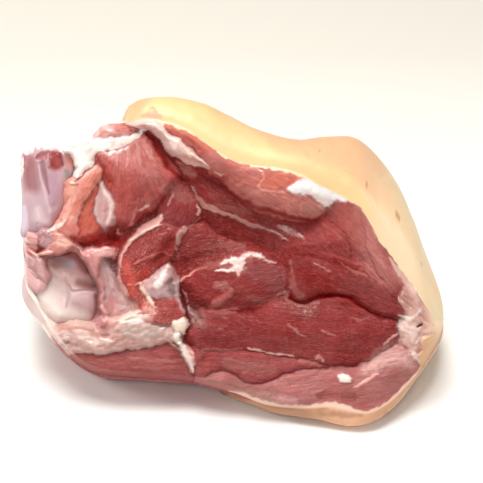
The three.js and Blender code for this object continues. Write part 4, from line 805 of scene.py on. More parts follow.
    "low_dark": Mark([(-14, -33, 3), (-6, -31, 5), (4, -31, 4.5)], "#80242A", 0.6, 0.6, soft=0.9,
        specks=0.1),
    "bottom_pink": Mark([(60, -48.4, 2), (67, -45, 3.6), (74, -43, 4.6), (79, -46, 3)], "#FFD6CE", 0.75,
        0.4, 0.1, soft=1, specks=0.3),
    "bottom_pale": Mark([(2, -58.3, 1), (10, -59.8, 1.6), (19, -61, 1.6), (28, -62.4, 1.1)], "#EFC0BA", 0.7,
        0.8, soft=0.9, specks=0.6),
    "bottom_fleck": Mark([(15.8, -59.5, 0.4), (15.2, -61.6, 0.7), (14, -63.6, 0.5)], "#F2C6BA", 0.75, 1.3,
        0.1, 0.6, soft=0.6),
    "low_left_light": Mark([(-44, -43.6, 0.7), (-34, -44.6, 1.1), (-23, -44, 0.7)], "#BE756E", 0.65, 1, 0.2,
        soft=0.8),
    "low_left_shade": Mark([(-66, -43.4, 1), (-57, -44.8, 1.5), (-48, -43.6, 1.1)], "#8C3E3A", 0.6, 1, -0.3,
        soft=0.9),
    "low_left_fold": Mark([(-47, -47.4, 0.5), (-42, -49.4, 0.9), (-36, -49.6, 0.6)], "#8A3B36", 0.6, 0.8,
        -0.3, soft=0.8),
    "centre_flap_light": Mark([(-9, -22.6, 0.7), (-4, -23.8, 1.3), (1.5, -23.2, 0.8)], "#BC6A64", 0.65, 0.8,
        0.2, soft=0.8),
    "crescent_low_bright": Mark([(-48, 0, 1.4), (-46, -5, 2.2), (-45, -10, 1.6)], "#E0645A", 0.6, 0.8,
        soft=0.9, specks=0.5),
    "crescent_top_shade": Mark([(-41, 12.5, 1.2), (-37.5, 9.5, 1.6), (-36, 6, 1.2)], "#8E3634", 0.5, 0.8,
        soft=0.9, specks=0.6),
    "fat_chip": Mark([(48, -51.4, 1), (50, -52.3, 1.9), (52, -53.2, 1.3)], "#FFF4E6", 1, 0.2, 1.6, 1,
        soft=0.2),
    "bottom_mauve": Mark([(53, -60, 3), (62, -59, 4.5), (72, -53, 4.5), (78, -50, 3)], "#B0716C", 0.7, 0.5,
        soft=0.9, specks=0.1),
    "bottom_hollow": Mark([(38, -60.5, 1), (43, -60, 2.2), (49, -60, 2.4), (55, -61.5, 1.5)], "#964A44",
        0.75, 0.5, -0.8, soft=0.8, specks=0.1),
    "bottom_tan": Mark([(42, -55.5, 1), (50, -57, 1.6), (58, -57, 1.2)], "#A4655C", 0.6, 0.6, -0.3),
    "bottom_streak": Mark([(54, -56.5, 0.4), (58, -55, 0.7), (62, -52.3, 1), (65, -51, 0.6)], "#EFB0A4",
        0.85, 0.6, 0.4, 1),
    "bottom_grey": Mark([(-10, -54, 1.5), (0, -55, 2.2), (8, -58, 3), (18, -60, 2.5)], "#A67A70", 0.75,
        0.5),
    "bottom_fat": Mark([(0, -61, 0.9), (8, -63.3, 0.9), (16, -64.6, 0.8), (30, -65.3, 0.8),
        (42, -65.2, 1.6), (48, -65.6, 1.6), (53, -67, 0.9), (60, -68.3, 0.9), (66, -67, 0.9),
        (72, -63, 0.8)], "#F6D3C2", 0.9, 0.5, 0.3, 1),
    "left_streak_one": Mark([(-60, -43.5, 0.4), (-50, -43, 0.5), (-38, -43.5, 0.5), (-26, -44.5, 0.5)],
        "#B97C74", 0.6, 0.8, 0.2),
    "left_streak_two": Mark([(-45, -47, 0.4), (-36, -48, 0.5), (-24, -47.5, 0.4)], "#B6766E", 0.6, 0.8,
        0.2),
    "left_wash": Mark([(-78, -44, 4), (-66, -47, 7), (-52, -47, 8), (-38, -46, 9), (-22, -48, 8)],
        "#A86A66", 0.45, 0.5, soft=0.9, specks=0.3),
    "left_brown": Mark([(-74, -42.5, 0.8), (-66, -44, 1.6), (-60, -46, 1.2)], "#A45F50", 0.6, 1, -0.2),
    # painted shade in a slit in the end gristle
    "gristle_slit_shade": Mark([(82.7, -29.9, 0.25), (84.4, -28.6, 0.45), (85, -28, 0.2)], "#2A1210", 1, 0, -2,
        1),
    "gristle_white": Mark([(75, -28, 1.5), (78, -30, 3), (81, -33, 3), (83, -36, 1.5)], "#F2D4CB", 0.85,
        0.6, 0.3, 1),
    "gristle_low": Mark([(79.5, -40.5, 0.8), (82, -42.5, 1.4), (85, -45.5, 1)], "#F4D3C8", 0.9, 0.5, 0.4,
        1),
    "gristle_grey": Mark([(77, -16, 2), (79, -20, 2.5), (77.5, -24, 1.5)], "#AE7C6E", 0.65, 1, 0, 1,
        soft=0.8),
    "gristle_line_one": Mark([(77, -5, 0.3), (80, -9.5, 0.35), (83, -13.5, 0.4), (86, -18, 0.4),
        (88.3, -23, 0.35), (88.6, -28, 0.3)], "#A06A58", 0.75, 0.5, -0.5, 1, soft=0.6),
    "gristle_line_two": Mark([(74.5, -15, 0.4), (78, -18.5, 0.5), (82, -21, 0.4), (86, -25.5, 0.3)],
        "#B98478", 0.7, 0.8, -0.3, 1),
    "gristle_line_three": Mark([(83.5, -22, 0.4), (85, -28, 0.5), (84, -33, 0.5), (82, -36.5, 0.4)],
        "#C99080", 0.7, 0.9, -0.3, 1),
    "gristle_strand": Mark([(75, -24, 0.5), (79, -26, 0.8), (82, -25, 0.6), (86, -20, 0.5)], "#FFF0E8", 0.8,
        0.8, 0.4, 1),
    "gristle_tear": Mark([(74, -33, 0.6), (71, -35, 0.7), (68, -37.5, 0.5)], "#E6B0A6", 0.8, 0.8, 0.3, 1),
    "gristle_pink": Mark([(85, -17, 1), (87, -22, 1.5), (87, -27, 1.2)], "#DE9C8E", 0.6, 0.7, 0, 1),
    "gristle_seam": Mark([(76, -37, 0.3), (79, -39.6, 0.5), (81, -43, 0.4)], "#C88A80", 0.7, 0.6, -0.4, 1),
}

# The cleft that opens under the right-hand flap: (u, v, depth, half width). It is sunk that deep and painted
# red where it opens, as painted shade.
CLEFT = [(25.8, -14.5, 0.8, 0.9), (28, -17.3, 1.4, 1.1), (32, -18.2, 1.4, 1), (36, -16.8, 1.2, 0.9),
         (40, -15.1, 1.5, 1.3), (45, -14.8, 1.6, 1.6), (50, -15.4, 1.5, 1.4), (54, -17.5, 1.2, 1),
         (58, -20.2, 1.2, 0.8), (63, -23.2, 0.8, 0.6), (69, -24.9, 0.5, 0.4)]

BONES = {
    "upper_joint_bone": Bone([(-94.8, 12), (-94.6, 20), (-94.5, 30), (-95, 42), (-94.5, 48.5), (-91, 52),
        (-84, 54), (-78, 54.3), (-73, 53), (-70, 47), (-70.5, 41), (-72, 37), (-73.2, 33), (-73.2, 27),
        (-75.2, 22), (-78, 18), (-82, 14), (-88, 11)], (-83.5, 31), -1, 9, "upper_bone", [
        Mark([(-91, 46, 3), (-90.5, 40, 3.8), (-89.5, 34.5, 3.2)], "#A2686A", 0.9, 0.1, soft=0.8),
        Mark([(-91, 29, 3), (-88.5, 24.5, 4.5), (-87, 19.5, 4)], "#CBAFB5", 0.85, 0.1, 0.4, soft=0.8),
        # painted highlight low on the left ridge
        Mark([(-87, 24, 1.6), (-86, 20, 2.2), (-83.5, 17.5, 1.5)], "#E2C8CA", 0.85, 0.1, 0.3, soft=0.9),
        Mark([(-93.4, 25, 1), (-93, 18, 1.5), (-93, 14, 1.2)], "#DDCCDC", 0.8, 0.1, soft=0.6),
        Mark([(-87.7, 18, 0.2), (-87.5, 14, 0.3)], "#B08C90", 0.7, 0.1, -0.3),
        Mark([(-85.3, 45, 1.3), (-84.5, 41, 1.3), (-83.4, 36, 1), (-82.1, 31, 0.4)], "#B4888E", 0.95, 0.05,
             -0.4, soft=0.4),
        Mark([(-85, 45.5, 0.9), (-84.2, 41, 1), (-83.2, 36, 0.8), (-82.1, 31, 0.4)], "#AA7A7E", 0.85, 0.15,
             -0.3, soft=0.6),
        # painted highlight along the right edge of the groove
        Mark([(-86.8, 44, 0.4), (-86, 39, 0.5), (-84.8, 34.5, 0.6), (-83.4, 30, 0.9), (-82.4, 26, 1.1),
             (-81.6, 22.5, 0.9)], "#E2C6D0", 0.65, 0.1, 0.3, soft=0.9),
        Mark([(-80.5, 39, 2), (-80, 33, 2.3), (-80.5, 27, 1.8)], "#B890A0", 0.75, 0.1, 0.2, soft=0.8),
        # painted shade down the right side of the right ridge
        Mark([(-75.5, 38, 1.3), (-75.6, 32, 1.9), (-77, 25.5, 2.2), (-79.6, 20.5, 1.8)], "#BA9092", 0.85,
             0.1, soft=0.8),
        Mark([(-87.2, 47.2, 1.2), (-85.4, 48.3, 2), (-83, 48.6, 2)], "#A45C5C", 0.95, 0.25, -0.8, soft=0.3),
        Mark([(-79.2, 47.8, 3), (-78.9, 44.6, 3.3)], "#9C352E", 0.97, 0.15, -0.5, soft=0.4),
        Mark([(-77.4, 49.4, 0.5), (-76.8, 46.6, 0.8), (-75.9, 43.8, 0.5)], "#84303A", 0.85, 0.4, -0.2,
             soft=0.6),
        Mark([(-80.6, 50, 0.4), (-81, 47.4, 0.5)], "#8C4450", 0.7, 0.4, -0.2),
        Mark([(-82.6, 49, 0.5), (-82.6, 46, 0.6), (-82.2, 43.5, 0.5)], "#C08A8E", 0.7, 0.2, 0.8, soft=0.6),
        Mark([(-74.6, 41.4, 1), (-73.6, 39.6, 1.5), (-73, 38.2, 1.2)], "#9C908A", 0.85, 0.3, -0.2,
             soft=0.7),
        Mark([(-73, 47.6, 1.7), (-72.6, 44.6, 1.9)], "#E0978E", 0.95, 0.3, -0.3, soft=0.6),
        Mark([(-93.2, 48, 0.5), (-93.4, 43.5, 0.5), (-94, 39, 0.4)], "#A8686A", 0.8, 0.8),
        Mark([(-94.6, 47, 0.7), (-94.2, 43, 0.6), (-94.6, 38, 0.5)], "#FAE8E2", 0.9, 1),
        Mark([(-94, 50, 1.2), (-91, 51.8, 1.4), (-87.5, 53, 1.5), (-83, 53.6, 1.9), (-78, 53.4, 2.2),
             (-74, 52.4, 2.2)], "#FFF1EC", 0.95, 0.9, 0.2),
    ]),
    "lower_joint_bone": Bone([(-86, 3.5), (-82, 3.6), (-78, 4), (-73, 6), (-69.5, 6.5), (-66.5, 1.5),
        (-63.5, -4), (-61, -8.5), (-59.7, -12), (-59.3, -16), (-59.5, -21), (-61, -26), (-66, -28),
        (-72, -29), (-78, -30.5), (-84, -27.5), (-90, -23), (-94, -16), (-94.5, -9), (-92, -2)], (-75, -12),
        -2, 5, "lower_bone", [
        Mark([(-81, -6, 2), (-77, -9, 2.6), (-72, -10, 2)], "#C8A29C", 0.7, 0.05, -0.6, soft=0.9),
        Mark([(-79, 0, 2.8), (-75, -2.8, 4.3), (-69, -5, 4.7), (-65, -8.8, 3.8)], "#BC9490", 0.95, 0.05,
             -1.5, soft=0.6),
        # painted shade in the upper right of the cup
        Mark([(-75.5, 4.4, 1.3), (-70.5, 3.4, 2.4), (-67.8, -0.5, 2.2), (-65.5, -4, 1.4)], "#A66A6C", 0.85,
             0.1, -0.3, soft=0.7),
        # painted highlight in the cup
        Mark([(-76.5, 1, 1), (-73.3, 0.3, 1.7), (-71, -1, 1)], "#B5A2B2", 0.8, 0.1, soft=0.9),
        # painted shade at the right and bottom of the cup
        Mark([(-69, -9, 1.8), (-65, -10.3, 1.8), (-62, -10.6, 1.1)], "#8A5A57", 0.9, 0.1, soft=0.8),
        Mark([(-84.2, 1.5, 0.5), (-83.3, -2.5, 0.9), (-82.4, -7, 0.5)], "#A07A78", 0.8, 0.1, -0.4,
             soft=0.7),
        Mark([(-81, 1, 0.5), (-81, -3, 0.7), (-80.6, -6, 0.5)], "#C6A7A4", 0.7, 0.1, 0.2, soft=0.7),
        Mark([(-82, -8, 2.5), (-78, -9, 2.8), (-75.5, -13, 1.8)], "#CDB3AE", 0.7, 0.05, soft=0.9),
        # painted highlight, warm white, low on the left
        Mark([(-87, -12, 2.5), (-84.5, -16, 4.5), (-82, -20, 5.5), (-78, -23.5, 3.5)], "#F6E4DC", 0.98,
             0.05, 1.3, soft=0.8),
        Mark([(-73.4, -10, 0.4), (-71.6, -12.5, 0.5), (-67, -12.1, 0.4), (-61.5, -12.3, 0.4)], "#8A615F",
             0.6, 0.4, -0.15, soft=0.7),
        # painted highlight along the crisp top edge of the lower facet
        Mark([(-72, -14.7, 0.4), (-68.5, -13.8, 0.4), (-64.5, -13.5, 0.4), (-61.4, -14.6, 0.3)], "#E6CCCC",
             0.6, 1, 0.15, soft=0.5),
        Mark([(-74.8, -7, 0.7), (-73.6, -12.5, 1), (-73.6, -16, 0.9), (-74.6, -20, 0.6)], "#B39490", 0.55,
             0.1, -0.15, soft=0.9),
        Mark([(-70, -17, 2.5), (-66.5, -18.5, 4), (-65, -21, 3)], "#C39C9E", 0.8, 0.05, 0.6, soft=0.9),
        Mark([(-81, -1, 2), (-77.5, -2.6, 2.2)], "#D8B2AC", 0.75, 0.1, soft=0.9),
        Mark([(-74, -23.5, 2.8), (-69, -24.8, 3), (-65, -24.2, 1.8)], "#FFEFE8", 0.75, 0.1, soft=0.9),
        # painted shade down the right side, by the strip
        Mark([(-61.2, -15, 1), (-60.6, -20, 1.3), (-61.6, -25, 1.5)], "#AE7677", 0.85, 0.2, -0.6, soft=0.8),
    ]),
}


# ---------------------------------------------------------------- curves and distances


def smooth(edge0, edge1, x):
    """From 0 at edge0 to 1 at edge1, eased at both ends."""
    t = np.clip((x - edge0) / (edge1 - edge0), 0, 1)
    return t * t * (3 - 2 * t)


def bell(x, middle, width):
    return np.exp(-(((x - middle) / width) ** 2))


def curve(rows, x):
    """The smooth curve through rows of [place, value...] at every x; one column out for each value."""
    rows = np.asarray(rows, float)
    knots, values = rows[:, 0], rows[:, 1:]
    before, after = np.arange(len(rows)) - 1, np.arange(len(rows)) + 1
    before[0], after[-1] = 0, len(rows) - 1
    slopes = (values[after] - values[before]) / (knots[after] - knots[before])[:, None]
    i = np.clip(np.searchsorted(knots, x, side="right") - 1, 0, len(knots) - 2)
    span = (knots[i + 1] - knots[i])
    t = np.clip((x - knots[i]) / span, 0, 1)[..., None]
    span = span[..., None]
    return ((2 * t**3 - 3 * t**2 + 1) * values[i] + (t**3 - 2 * t**2 + t) * span * slopes[i]
            + (3 * t**2 - 2 * t**3) * values[i + 1] + (t**3 - t**2) * span * slopes[i + 1])


def profile(rows, u):
    return curve(rows, u)[..., 0]


def smooth_path(points, steps):
    rows = [[i, *point] for i, point in enumerate(points)]
    return curve(rows, np.linspace(0, len(points) - 1, (len(points) - 1) * steps + 1))


def smooth_loop(points, steps=4):
    count = len(points)
    rows = [[i - 2, *points[(i - 2) % count]] for i in range(count + 4)]
    return curve(rows, np.arange(count * steps) / steps)


def along_edge(a, b, u, v):
    """How far along the edge from a to b, from 0 to 1, lies its nearest point to (u, v), and how far off."""
    du, dv = b[0] - a[0], b[1] - a[1]
    t = np.clip(((u - a[0]) * du + (v - a[1]) * dv) / (du * du + dv * dv + TINY), 0, 1)
    return t, np.hypot(u - a[0] - t * du, v - a[1] - t * dv)


def loop_distance(loop, u, v):
    """How far inside the closed loop each (u, v) lies; negative outside."""
    nearest = np.full(u.shape, FAR_OFF)
    inside = np.zeros(u.shape, bool)
    for a, b in zip(loop, np.roll(loop, -1, axis=0)):
        nearest = np.minimum(nearest, along_edge(a, b, u, v)[1])
        if a[1] != b[1]:
            inside ^= ((a[1] > v) != (b[1] > v)) & (u < (v - a[1]) / (b[1] - a[1]) * (b[0] - a[0]) + a[0])
    return np.where(inside, nearest, -nearest)


def path_share(path, u, v):
    """Distance from the path over its half width there (its last column), and the columns between."""
    share = np.full(u.shape, FAR_OFF)
    value = np.zeros(u.shape)
    for a, b in zip(path[:-1], path[1:]):
        t, distance = along_edge(a, b, u, v)
        here = distance / mixed(a[-1], b[-1], t)
        nearer = here < share
        share = np.where(nearer, here, share)
        value = np.where(nearer, mixed(a[2], b[2], t), value)
    return share, value


def window(points, reach, u, v):
    """Which (u, v) lie within reach of the box round the points."""
    return ((u > points[:, 0].min() - reach) & (u < points[:, 0].max() + reach)
            & (v > points[:, 1].min() - reach) & (v < points[:, 1].max() + reach))


# ---------------------------------------------------------------- noise and colour


def lattice(i, j, seed):
    """A repeatable random number from 0 to 1 for each whole (i, j)."""
    h = np.sin(i * SCRAMBLE[0] + j * SCRAMBLE[1] + seed * SCRAMBLE[2]) * SCRAMBLE[3]
    return h - np.floor(h)


def noise(x, y, seed=0):
    """Smooth noise from -1 to 1 that changes over about one unit."""
    i, j = np.floor(x), np.floor(y)
    fx, fy = x - i, y - j
    fx, fy = fx * fx * (3 - 2 * fx), fy * fy * (3 - 2 * fy)
    low = lattice(i, j, seed) * (1 - fx) + lattice(i + 1, j, seed) * fx
    high = lattice(i, j + 1, seed) * (1 - fx) + lattice(i + 1, j + 1, seed) * fx
    return (low * (1 - fy) + high * fy) * 2 - 1


def rough(x, y, seed=0):
    """Noise with finer noise on it."""
    layers = [share * noise(x * finer, y * finer, seed + k) for k, (share, finer) in enumerate(ROUGH_LAYERS)]
    return sum(layers) / sum(share for share, _ in ROUGH_LAYERS)


def pattern(kind, settings, x, y, seed=0):
    """One of the patterns named above, in noise of the kind."""
    strength, length, width, offset = settings
    return strength * kind(x / length, y / width, seed + offset)


def mixed(base, over, share):
    return base + (over - base) * share


def tinted(base, over, share):
    """Colours turned towards another, which may be an sRGB hex colour, by one share for each point."""
    over = linear(over) if isinstance(over, str) else over
    return base + (over - base) * np.asarray(share)[..., None]


def linear(colour):
    """An sRGB hex colour as linear RGB."""
    parts = [int(colour[i:i + 2], 16) / 255 for i in (1, 3, 5)]
    return np.array([c / 12.92 if c <= 0.04045 else ((c + 0.055) / 1.055) ** 2.4 for c in parts])


def flesh(tone, warmth):
    """Muscle colour for a tone from 0 (dark) to 1 (pale) and a warmth from 0 (purplish) to 1 (orange)."""
    stops = np.linspace(0, 1, len(COOL_FLESH))
    cool, warm = (np.array([linear(c) for c in ramp]) for ramp in (COOL_FLESH, WARM_FLESH))
    tone = np.clip(tone, 0, 1)
    parts = [np.interp(tone, stops, cool[:, k]) * (1 - warmth) + np.interp(tone, stops, warm[:, k]) * warmth
             for k in range(3)]
    return np.stack(parts, axis=-1)


# ---------------------------------------------------------------- the cut face


def grain_of(lobe, u, v):
    """Where (u, v) lies along and across the lobe's fibres, in millimetres."""
    if isinstance(lobe.grain, tuple):
        du, dv = u - lobe.grain[0], v - lobe.grain[1]
        return np.hypot(du, dv), np.arctan2(dv, du) * FAN_SPREAD
    turn = math.radians(lobe.grain)
    return u * math.cos(turn) + v * math.sin(turn), v * math.cos(turn) - u * math.sin(turn)


def lobe_height(lobe, depth):
    edge = np.clip(depth / lobe.rounding / EDGE_TIGHTNESS, 0, 1)
    step = lobe.step * lobe.rise
    foot = lobe.level + lobe.rise - step
    domed = lobe.crown * smooth(0, CROWN_WIDTH, depth)
    inner = foot + step * np.sqrt(1 - (1 - edge) ** 2) + domed
    return np.where(depth > 0, inner, foot + depth * lobe.fall)


def sinew_surface(lobe, seed, s, t, depth):
    """Bumps and colour of fat and sinew: lumpy, and stained red in its hollows."""
    lumps = pattern(rough, SINEW_LUMPS, s, t, seed)
    bumps = SINEW_LUMP_HEIGHT * lumps + pattern(noise, SINEW_GRIT, s, t, seed)
    stain = lobe.calm * smooth(*STAINED_HOLLOWS, lumps)[:, None]
    pigment = linear(lobe.tissue) * (1 + LUMP_SHADE * lumps)[:, None] * (1 - stain * np.array(STAIN_LOSS))
    return lobe.calm * bumps * smooth(0, SINEW_EDGE, depth), pigment


def muscle_surface(lobe, seed, s, t, u, v, depth):
    """Bumps and colour of muscle: ridged along its fibres, cloudy, and darker right at its edge, painted
    shade where it meets its neighbours.
    """
    bumps = (pattern(rough, FIBRE_RIDGES, s, t, seed) + pattern(rough, MUSCLE_SWELLS, s, t, seed)
             + pattern(noise, MUSCLE_GRIT, u, v, seed))
    shade = (pattern(rough, FIBRE_SHADES, s, t, seed) + pattern(rough, MUSCLE_CLOUDS, s, t, seed)
             - EDGE_SHADE * (1 - smooth(0, EDGE_SHADE_WIDTH, depth)))
    warmth = np.clip(lobe.warmth + pattern(rough, WARM_CLOUDS, s, t, seed), 0, 1)
    return bumps * smooth(0, MUSCLE_EDGE, depth), flesh(lobe.tone + shade, warmth)


def softened(field, reach):
    """The field averaged over a square that goes reach points to each side."""
    span = 2 * reach + 1
    for axis in (0, 1):
        count = field.shape[axis]
        ends = [np.repeat(field.take([k], axis), reach + extra, axis) for k, extra in ((0, 1), (-1, 0))]
        total = np.cumsum(np.concatenate([ends[0], field, ends[1]], axis), axis)
        field = (total.take(np.arange(span, span + count), axis) - total.take(np.arange(count), axis)) / span
    return field


def add_lobe(face, lobe, seed):
    """Swells one lobe out of the face; it covers what is there wherever it stands higher."""
    loop = smooth_loop(lobe.at)
    near = window(loop, LOBE_REACH + LOBE_REACH / lobe.fall, face["u"], face["v"])
    here = {key: field[near] for key, field in face.items()}
    depth = loop_distance(loop, here["bent_u"], here["bent_v"])
    s, t = grain_of(lobe, here["u"], here["v"])
    if lobe.tissue:
        bumps, pigment = sinew_surface(lobe, seed, s, t, depth)
    else:
        bumps, pigment = muscle_surface(lobe, seed, s, t, here["u"], here["v"], depth)
    height = lobe_height(lobe, depth) + bumps
    if lobe.sinks:
        start, slope = lobe.sinks
        height -= slope * np.clip(here["bent_u"] - start, 0, None)
    over = np.clip(0.5 + (height - here["height"]) / lobe.merge, 0, 1)
    won = over > 0.5
    face["height"][near] = mixed(here["height"], height, over) + lobe.merge / 2 * over * (1 - over)
    face["colour"][near] = tinted(here["colour"], pigment, over)
    face["tissue"][near] = mixed(here["tissue"], 1 if lobe.tissue else 0, over)
    face["specks"][near] = mixed(here["specks"], lobe.specks, over)
    face["along"][near] = np.where(won, s, here["along"])
    face["across"][near] = np.where(won, t + seed * FIBRE_OFFSET, here["across"])


def stroke(mark, steps):
    """The mark's line as a smooth path with an empty column before its half width."""
    return smooth_path([(u, v, 0, half) for u, v, half in mark.at], steps)


def stroke_cover(mark, frayed):
    return mark.cover * (1 - smooth(1 - mark.soft, 1 + mark.soft, frayed))


def add_mark(face, mark, seed):
    """Lays one mark over the face."""
    path = stroke(mark, MARK_STEPS)
    near = window(path, path[:, -1].max() * 2 + 1, face["u"], face["v"])
    here = {key: field[near] for key, field in face.items()}
    place = here["bent_u"], here["bent_v"]
    share, _ = path_share(path, *place)
    fray = pattern(noise, MARK_FRAY, *place, seed) + pattern(noise, MARK_FINE_FRAY, *place, seed)
    mottle = 1 - MARK_MOTTLE[0] + pattern(noise, MARK_MOTTLE, *place, seed)
    cover = stroke_cover(mark, share + mark.ragged * fray) * mottle
    face["height"][near] += mark.rise * np.sqrt(np.clip(1 - (share / MARK_FOOT) ** 2, 0, 1))
    face["colour"][near] = tinted(here["colour"], mark.colour, cover)
    face["tissue"][near] = mixed(here["tissue"], mark.tissue, cover)
    face["specks"][near] = mixed(here["specks"], mark.specks, cover)


def cut_face(u, v):
    """Fields over the cut face: how far out each (u, v) stands, its colour, tissue, specks and fibres."""
    bent = [place + pattern(rough, OUTLINE_SWAY, u, v, sway) + pattern(noise, OUTLINE_FRAY, u, v, fray)
            for place, (sway, fray) in zip((u, v), OUTLINE_SEEDS)]
    face = {
        "u": u,
        "v": v,
        "bent_u": bent[0],
        "bent_v": bent[1],
        "height": GROUND_LEVEL * (1 + smooth(*JOINT_OPENING, u)) + pattern(rough, GROUND_BUMPS, u, v),
        "colour": flesh(np.full(u.shape, GROUND_TONE), GROUND_WARMTH),
        "tissue": np.zeros(u.shape),
        "specks": np.full(u.shape, GROUND_SPECKS),
        "along": np.array(u),
        "across": np.array(v),
    }
    for seed, lobe in enumerate(LOBES.values()):
        add_lobe(face, lobe, seed)
    # Grooves between the lobes get painted shade in deep red, and the deepest are partly filled.
    groove = softened(face["height"], GROOVE_REACH) - face["height"]
    groove_shade = smooth(*GROOVE_SHADE_DEPTHS, groove) * (1 - face["tissue"])
    face["colour"] = tinted(face["colour"], GROOVE_SHADE_RED, GROOVE_SHADE_COVER * groove_shade)
    face["height"] += GROOVE_FILL * np.clip(groove - GROOVE_DEPTH, 0, None)
    for seed, mark in enumerate(MARKS.values()):
        add_mark(face, mark, seed)
    # The cleft is sunk and painted red where it opens: painted shade in it.
    share, depth = path_share(smooth_path(CLEFT, CLEFT_STEPS), face["bent_u"], face["bent_v"])
    opened = 1 - smooth(*CLEFT_WALL, share)
    face["height"] -= depth * opened
    face["colour"] = tinted(face["colour"], CLEFT_SHADE_RED, opened)
    return face


def dress_rims(face, above, below):
    """Adds the fat that shows along both rims, and the rind that folds over the face's right end."""
    u, v = face["u"], face["v"]
    ragged = pattern(rough, LIP_SWAY, u, v) + pattern(noise, LIP_FRAY, u, v)
    upper = 1 - smooth(-LIP_SOFTNESS, LIP_SOFTNESS, above + ragged - profile(UPPER_FAT_LIP, u))
    lower = 1 - smooth(-LIP_SOFTNESS, LIP_SOFTNESS, below + ragged - profile(LOWER_FAT_LIP, u))
    inside = loop_distance(smooth_loop(RIND_OVER_FACE), u, v)
    folded = smooth(-FOLD_SOFTNESS, FOLD_SOFTNESS, inside + FOLD_FRAY * ragged)
    fold_colour = tinted(linear(FOLD_PALE), FOLD_TAN, smooth(*FOLD_DARKENS_V, v))
    colour = tinted(tinted(face["colour"], UPPER_LIP_FAT, upper), LOWER_LIP_FAT, lower)
    face["colour"] = tinted(colour, fold_colour, folded)
    face["height"] = face["height"] + FOLD_THICKNESS * folded
    face["tissue"] = np.maximum(face["tissue"], np.maximum(upper, lower))
    face["rind"] = folded


# ---------------------------------------------------------------- the rind


def rind_colour(u, v, around, tints):
    """Skin colour. around runs from 0 at the upper rim over the back to 1 at the lower rim."""
    cream, peach, tan, stain = (
        np.array(c) for c in (tints.rind_cream, tints.rind_peach, tints.rind_tan, tints.rind_stain_and_shade))
    past = v - profile(FAT_BORDER, u) + pattern(rough, BORDER_SWAY, u, v) * smooth(*BORDER_STEADIES, u)
    softness = BORDER_SOFTNESS + BORDER_EXTRA_SOFTNESS * smooth(*BORDER_WIDENS, u)
    outer = np.maximum(smooth(-softness, softness, past), smooth(*BACK_ROUND, around))
    under = smooth(*UNDER_ROUND, around)
    side = smooth(*RIGHT_SIDE, u)
    colour = tinted(tinted(cream, SIDE_CREAM, side), tinted(peach, SIDE_PEACH, side), outer)
    paler = smooth(*PALE_LEVELS, pattern(rough, PALE_CLOUDS, u, v)) * (1 - outer)
    colour = tinted(colour, PALE_CREAM, PALE_COVER * paler)
    blotch = smooth(*BLOTCH_LEVELS, pattern(rough, BLOTCHES, u, v)) * outer * (1 - SIDE_CLEARNESS * side)
    colour = tinted(colour, BLOTCH_PEACH, BLOTCH_COVER * blotch)
    crest = bell(past, -CREST_OFFSET, CREST_WIDTH) * smooth(*CREST, u) * (around < CREST_END_ROUND)
    colour = tinted(colour, CREST_CREAM, CREST_COVER * crest)
    colour = tinted(colour, tan, under * (TAN_COVER[0] + TAN_COVER[1] * smooth(*TAN_DEEPENS, u)))
    # Painted light on the underside at the right.
    colour = tinted(colour, PAINTED_LIGHT_PEACH, PAINTED_LIGHT_COVER * under * bell(u, *PAINTED_LIGHT_PLACE))
    # Stains at random, and painted shade over the underside towards the left, both in the stain colour.
    stained = np.maximum(smooth(*STAIN_LEVELS, pattern(rough, STAINS, u, v)), smooth(*SHADED_BELOW_LEFT, u))
    return tinted(colour, stain, STAIN_AND_SHADE_COVER * under * stained)


def rind_marks(u, v, around, colour):
    """Stains, creases and dark specks on the rind that faces the viewer."""
    for seed, mark in enumerate(RIND_MARKS):
        share, _ = path_share(stroke(mark, MARK_STEPS), u, v)
        frayed = share + mark.ragged * pattern(noise, RIND_FRAY, u, v, seed)
        cover = mark.cover * (1 - smooth(*SPOT_EDGE, frayed)) * (around < SPOTS_END_ROUND)
        colour = tinted(colour, mark.colour, cover)
    return colour


def bare_colour(u, v, around, cap, closed_v, closed_w):
    """Colour of the meat beside the rind, its tissue, and where it lies along and across its fibres.

    cap is 1 on the closed left end, and (closed_v, closed_w) lie on it as it is closed."""
    s, t = u + LEAN[0] * closed_w, closed_v + LEAN[1] * closed_w
    seen = np.maximum(smooth(*TOP_ROUND, around), smooth(*BELOW_ROUND, around) * smooth(*BELOW_LEFT, u))
    patchy = pattern(rough, FASCIA_PATCHES, s, t) + PATCH_MORE * mixed(seen, CAP_PATCH, cap)
    patch = smooth(*PATCH_LEVELS, patchy)
    fascia = linear(FASCIA_PALE) * (1 + pattern(rough, FASCIA_CLOUDS, s, t))[..., None]
    colour = tinted(flesh(BARE_TONE + pattern(rough, BARE_FIBRES, s, t), BARE_WARMTH), fascia, patch)
    torn_cap = smooth(*TORN_CAP_V, closed_v) * smooth(*TORN_CAP_W, closed_w)
    torn = smooth(*TORN, u) * mixed(smooth(*TORN_ROUND, around), torn_cap, cap)
    colour = tinted(colour, TORN_WHITE, torn)
    lower = smooth(*LOWER_ROUND, around) * smooth(*LOWER, u)
    colour = tinted(colour, flesh(LOWER_TONE + pattern(rough, LOWER_FIBRES, s, t), LOWER_WARMTH), lower)
    left = smooth(*LEFT, u) * mixed(smooth(*LEFT_ROUND, around), smooth(*LEFT_CAP_V, closed_v), cap)
    pale = tinted(linear(LEFT_PALE), LEFT_SHADED, smooth(*LEFT_SHADES_V, v))
    return tinted(colour, pale, left), np.maximum(FASCIA_TISSUE * patch * (1 - lower), left), s, t


# ---------------------------------------------------------------- the body's surface


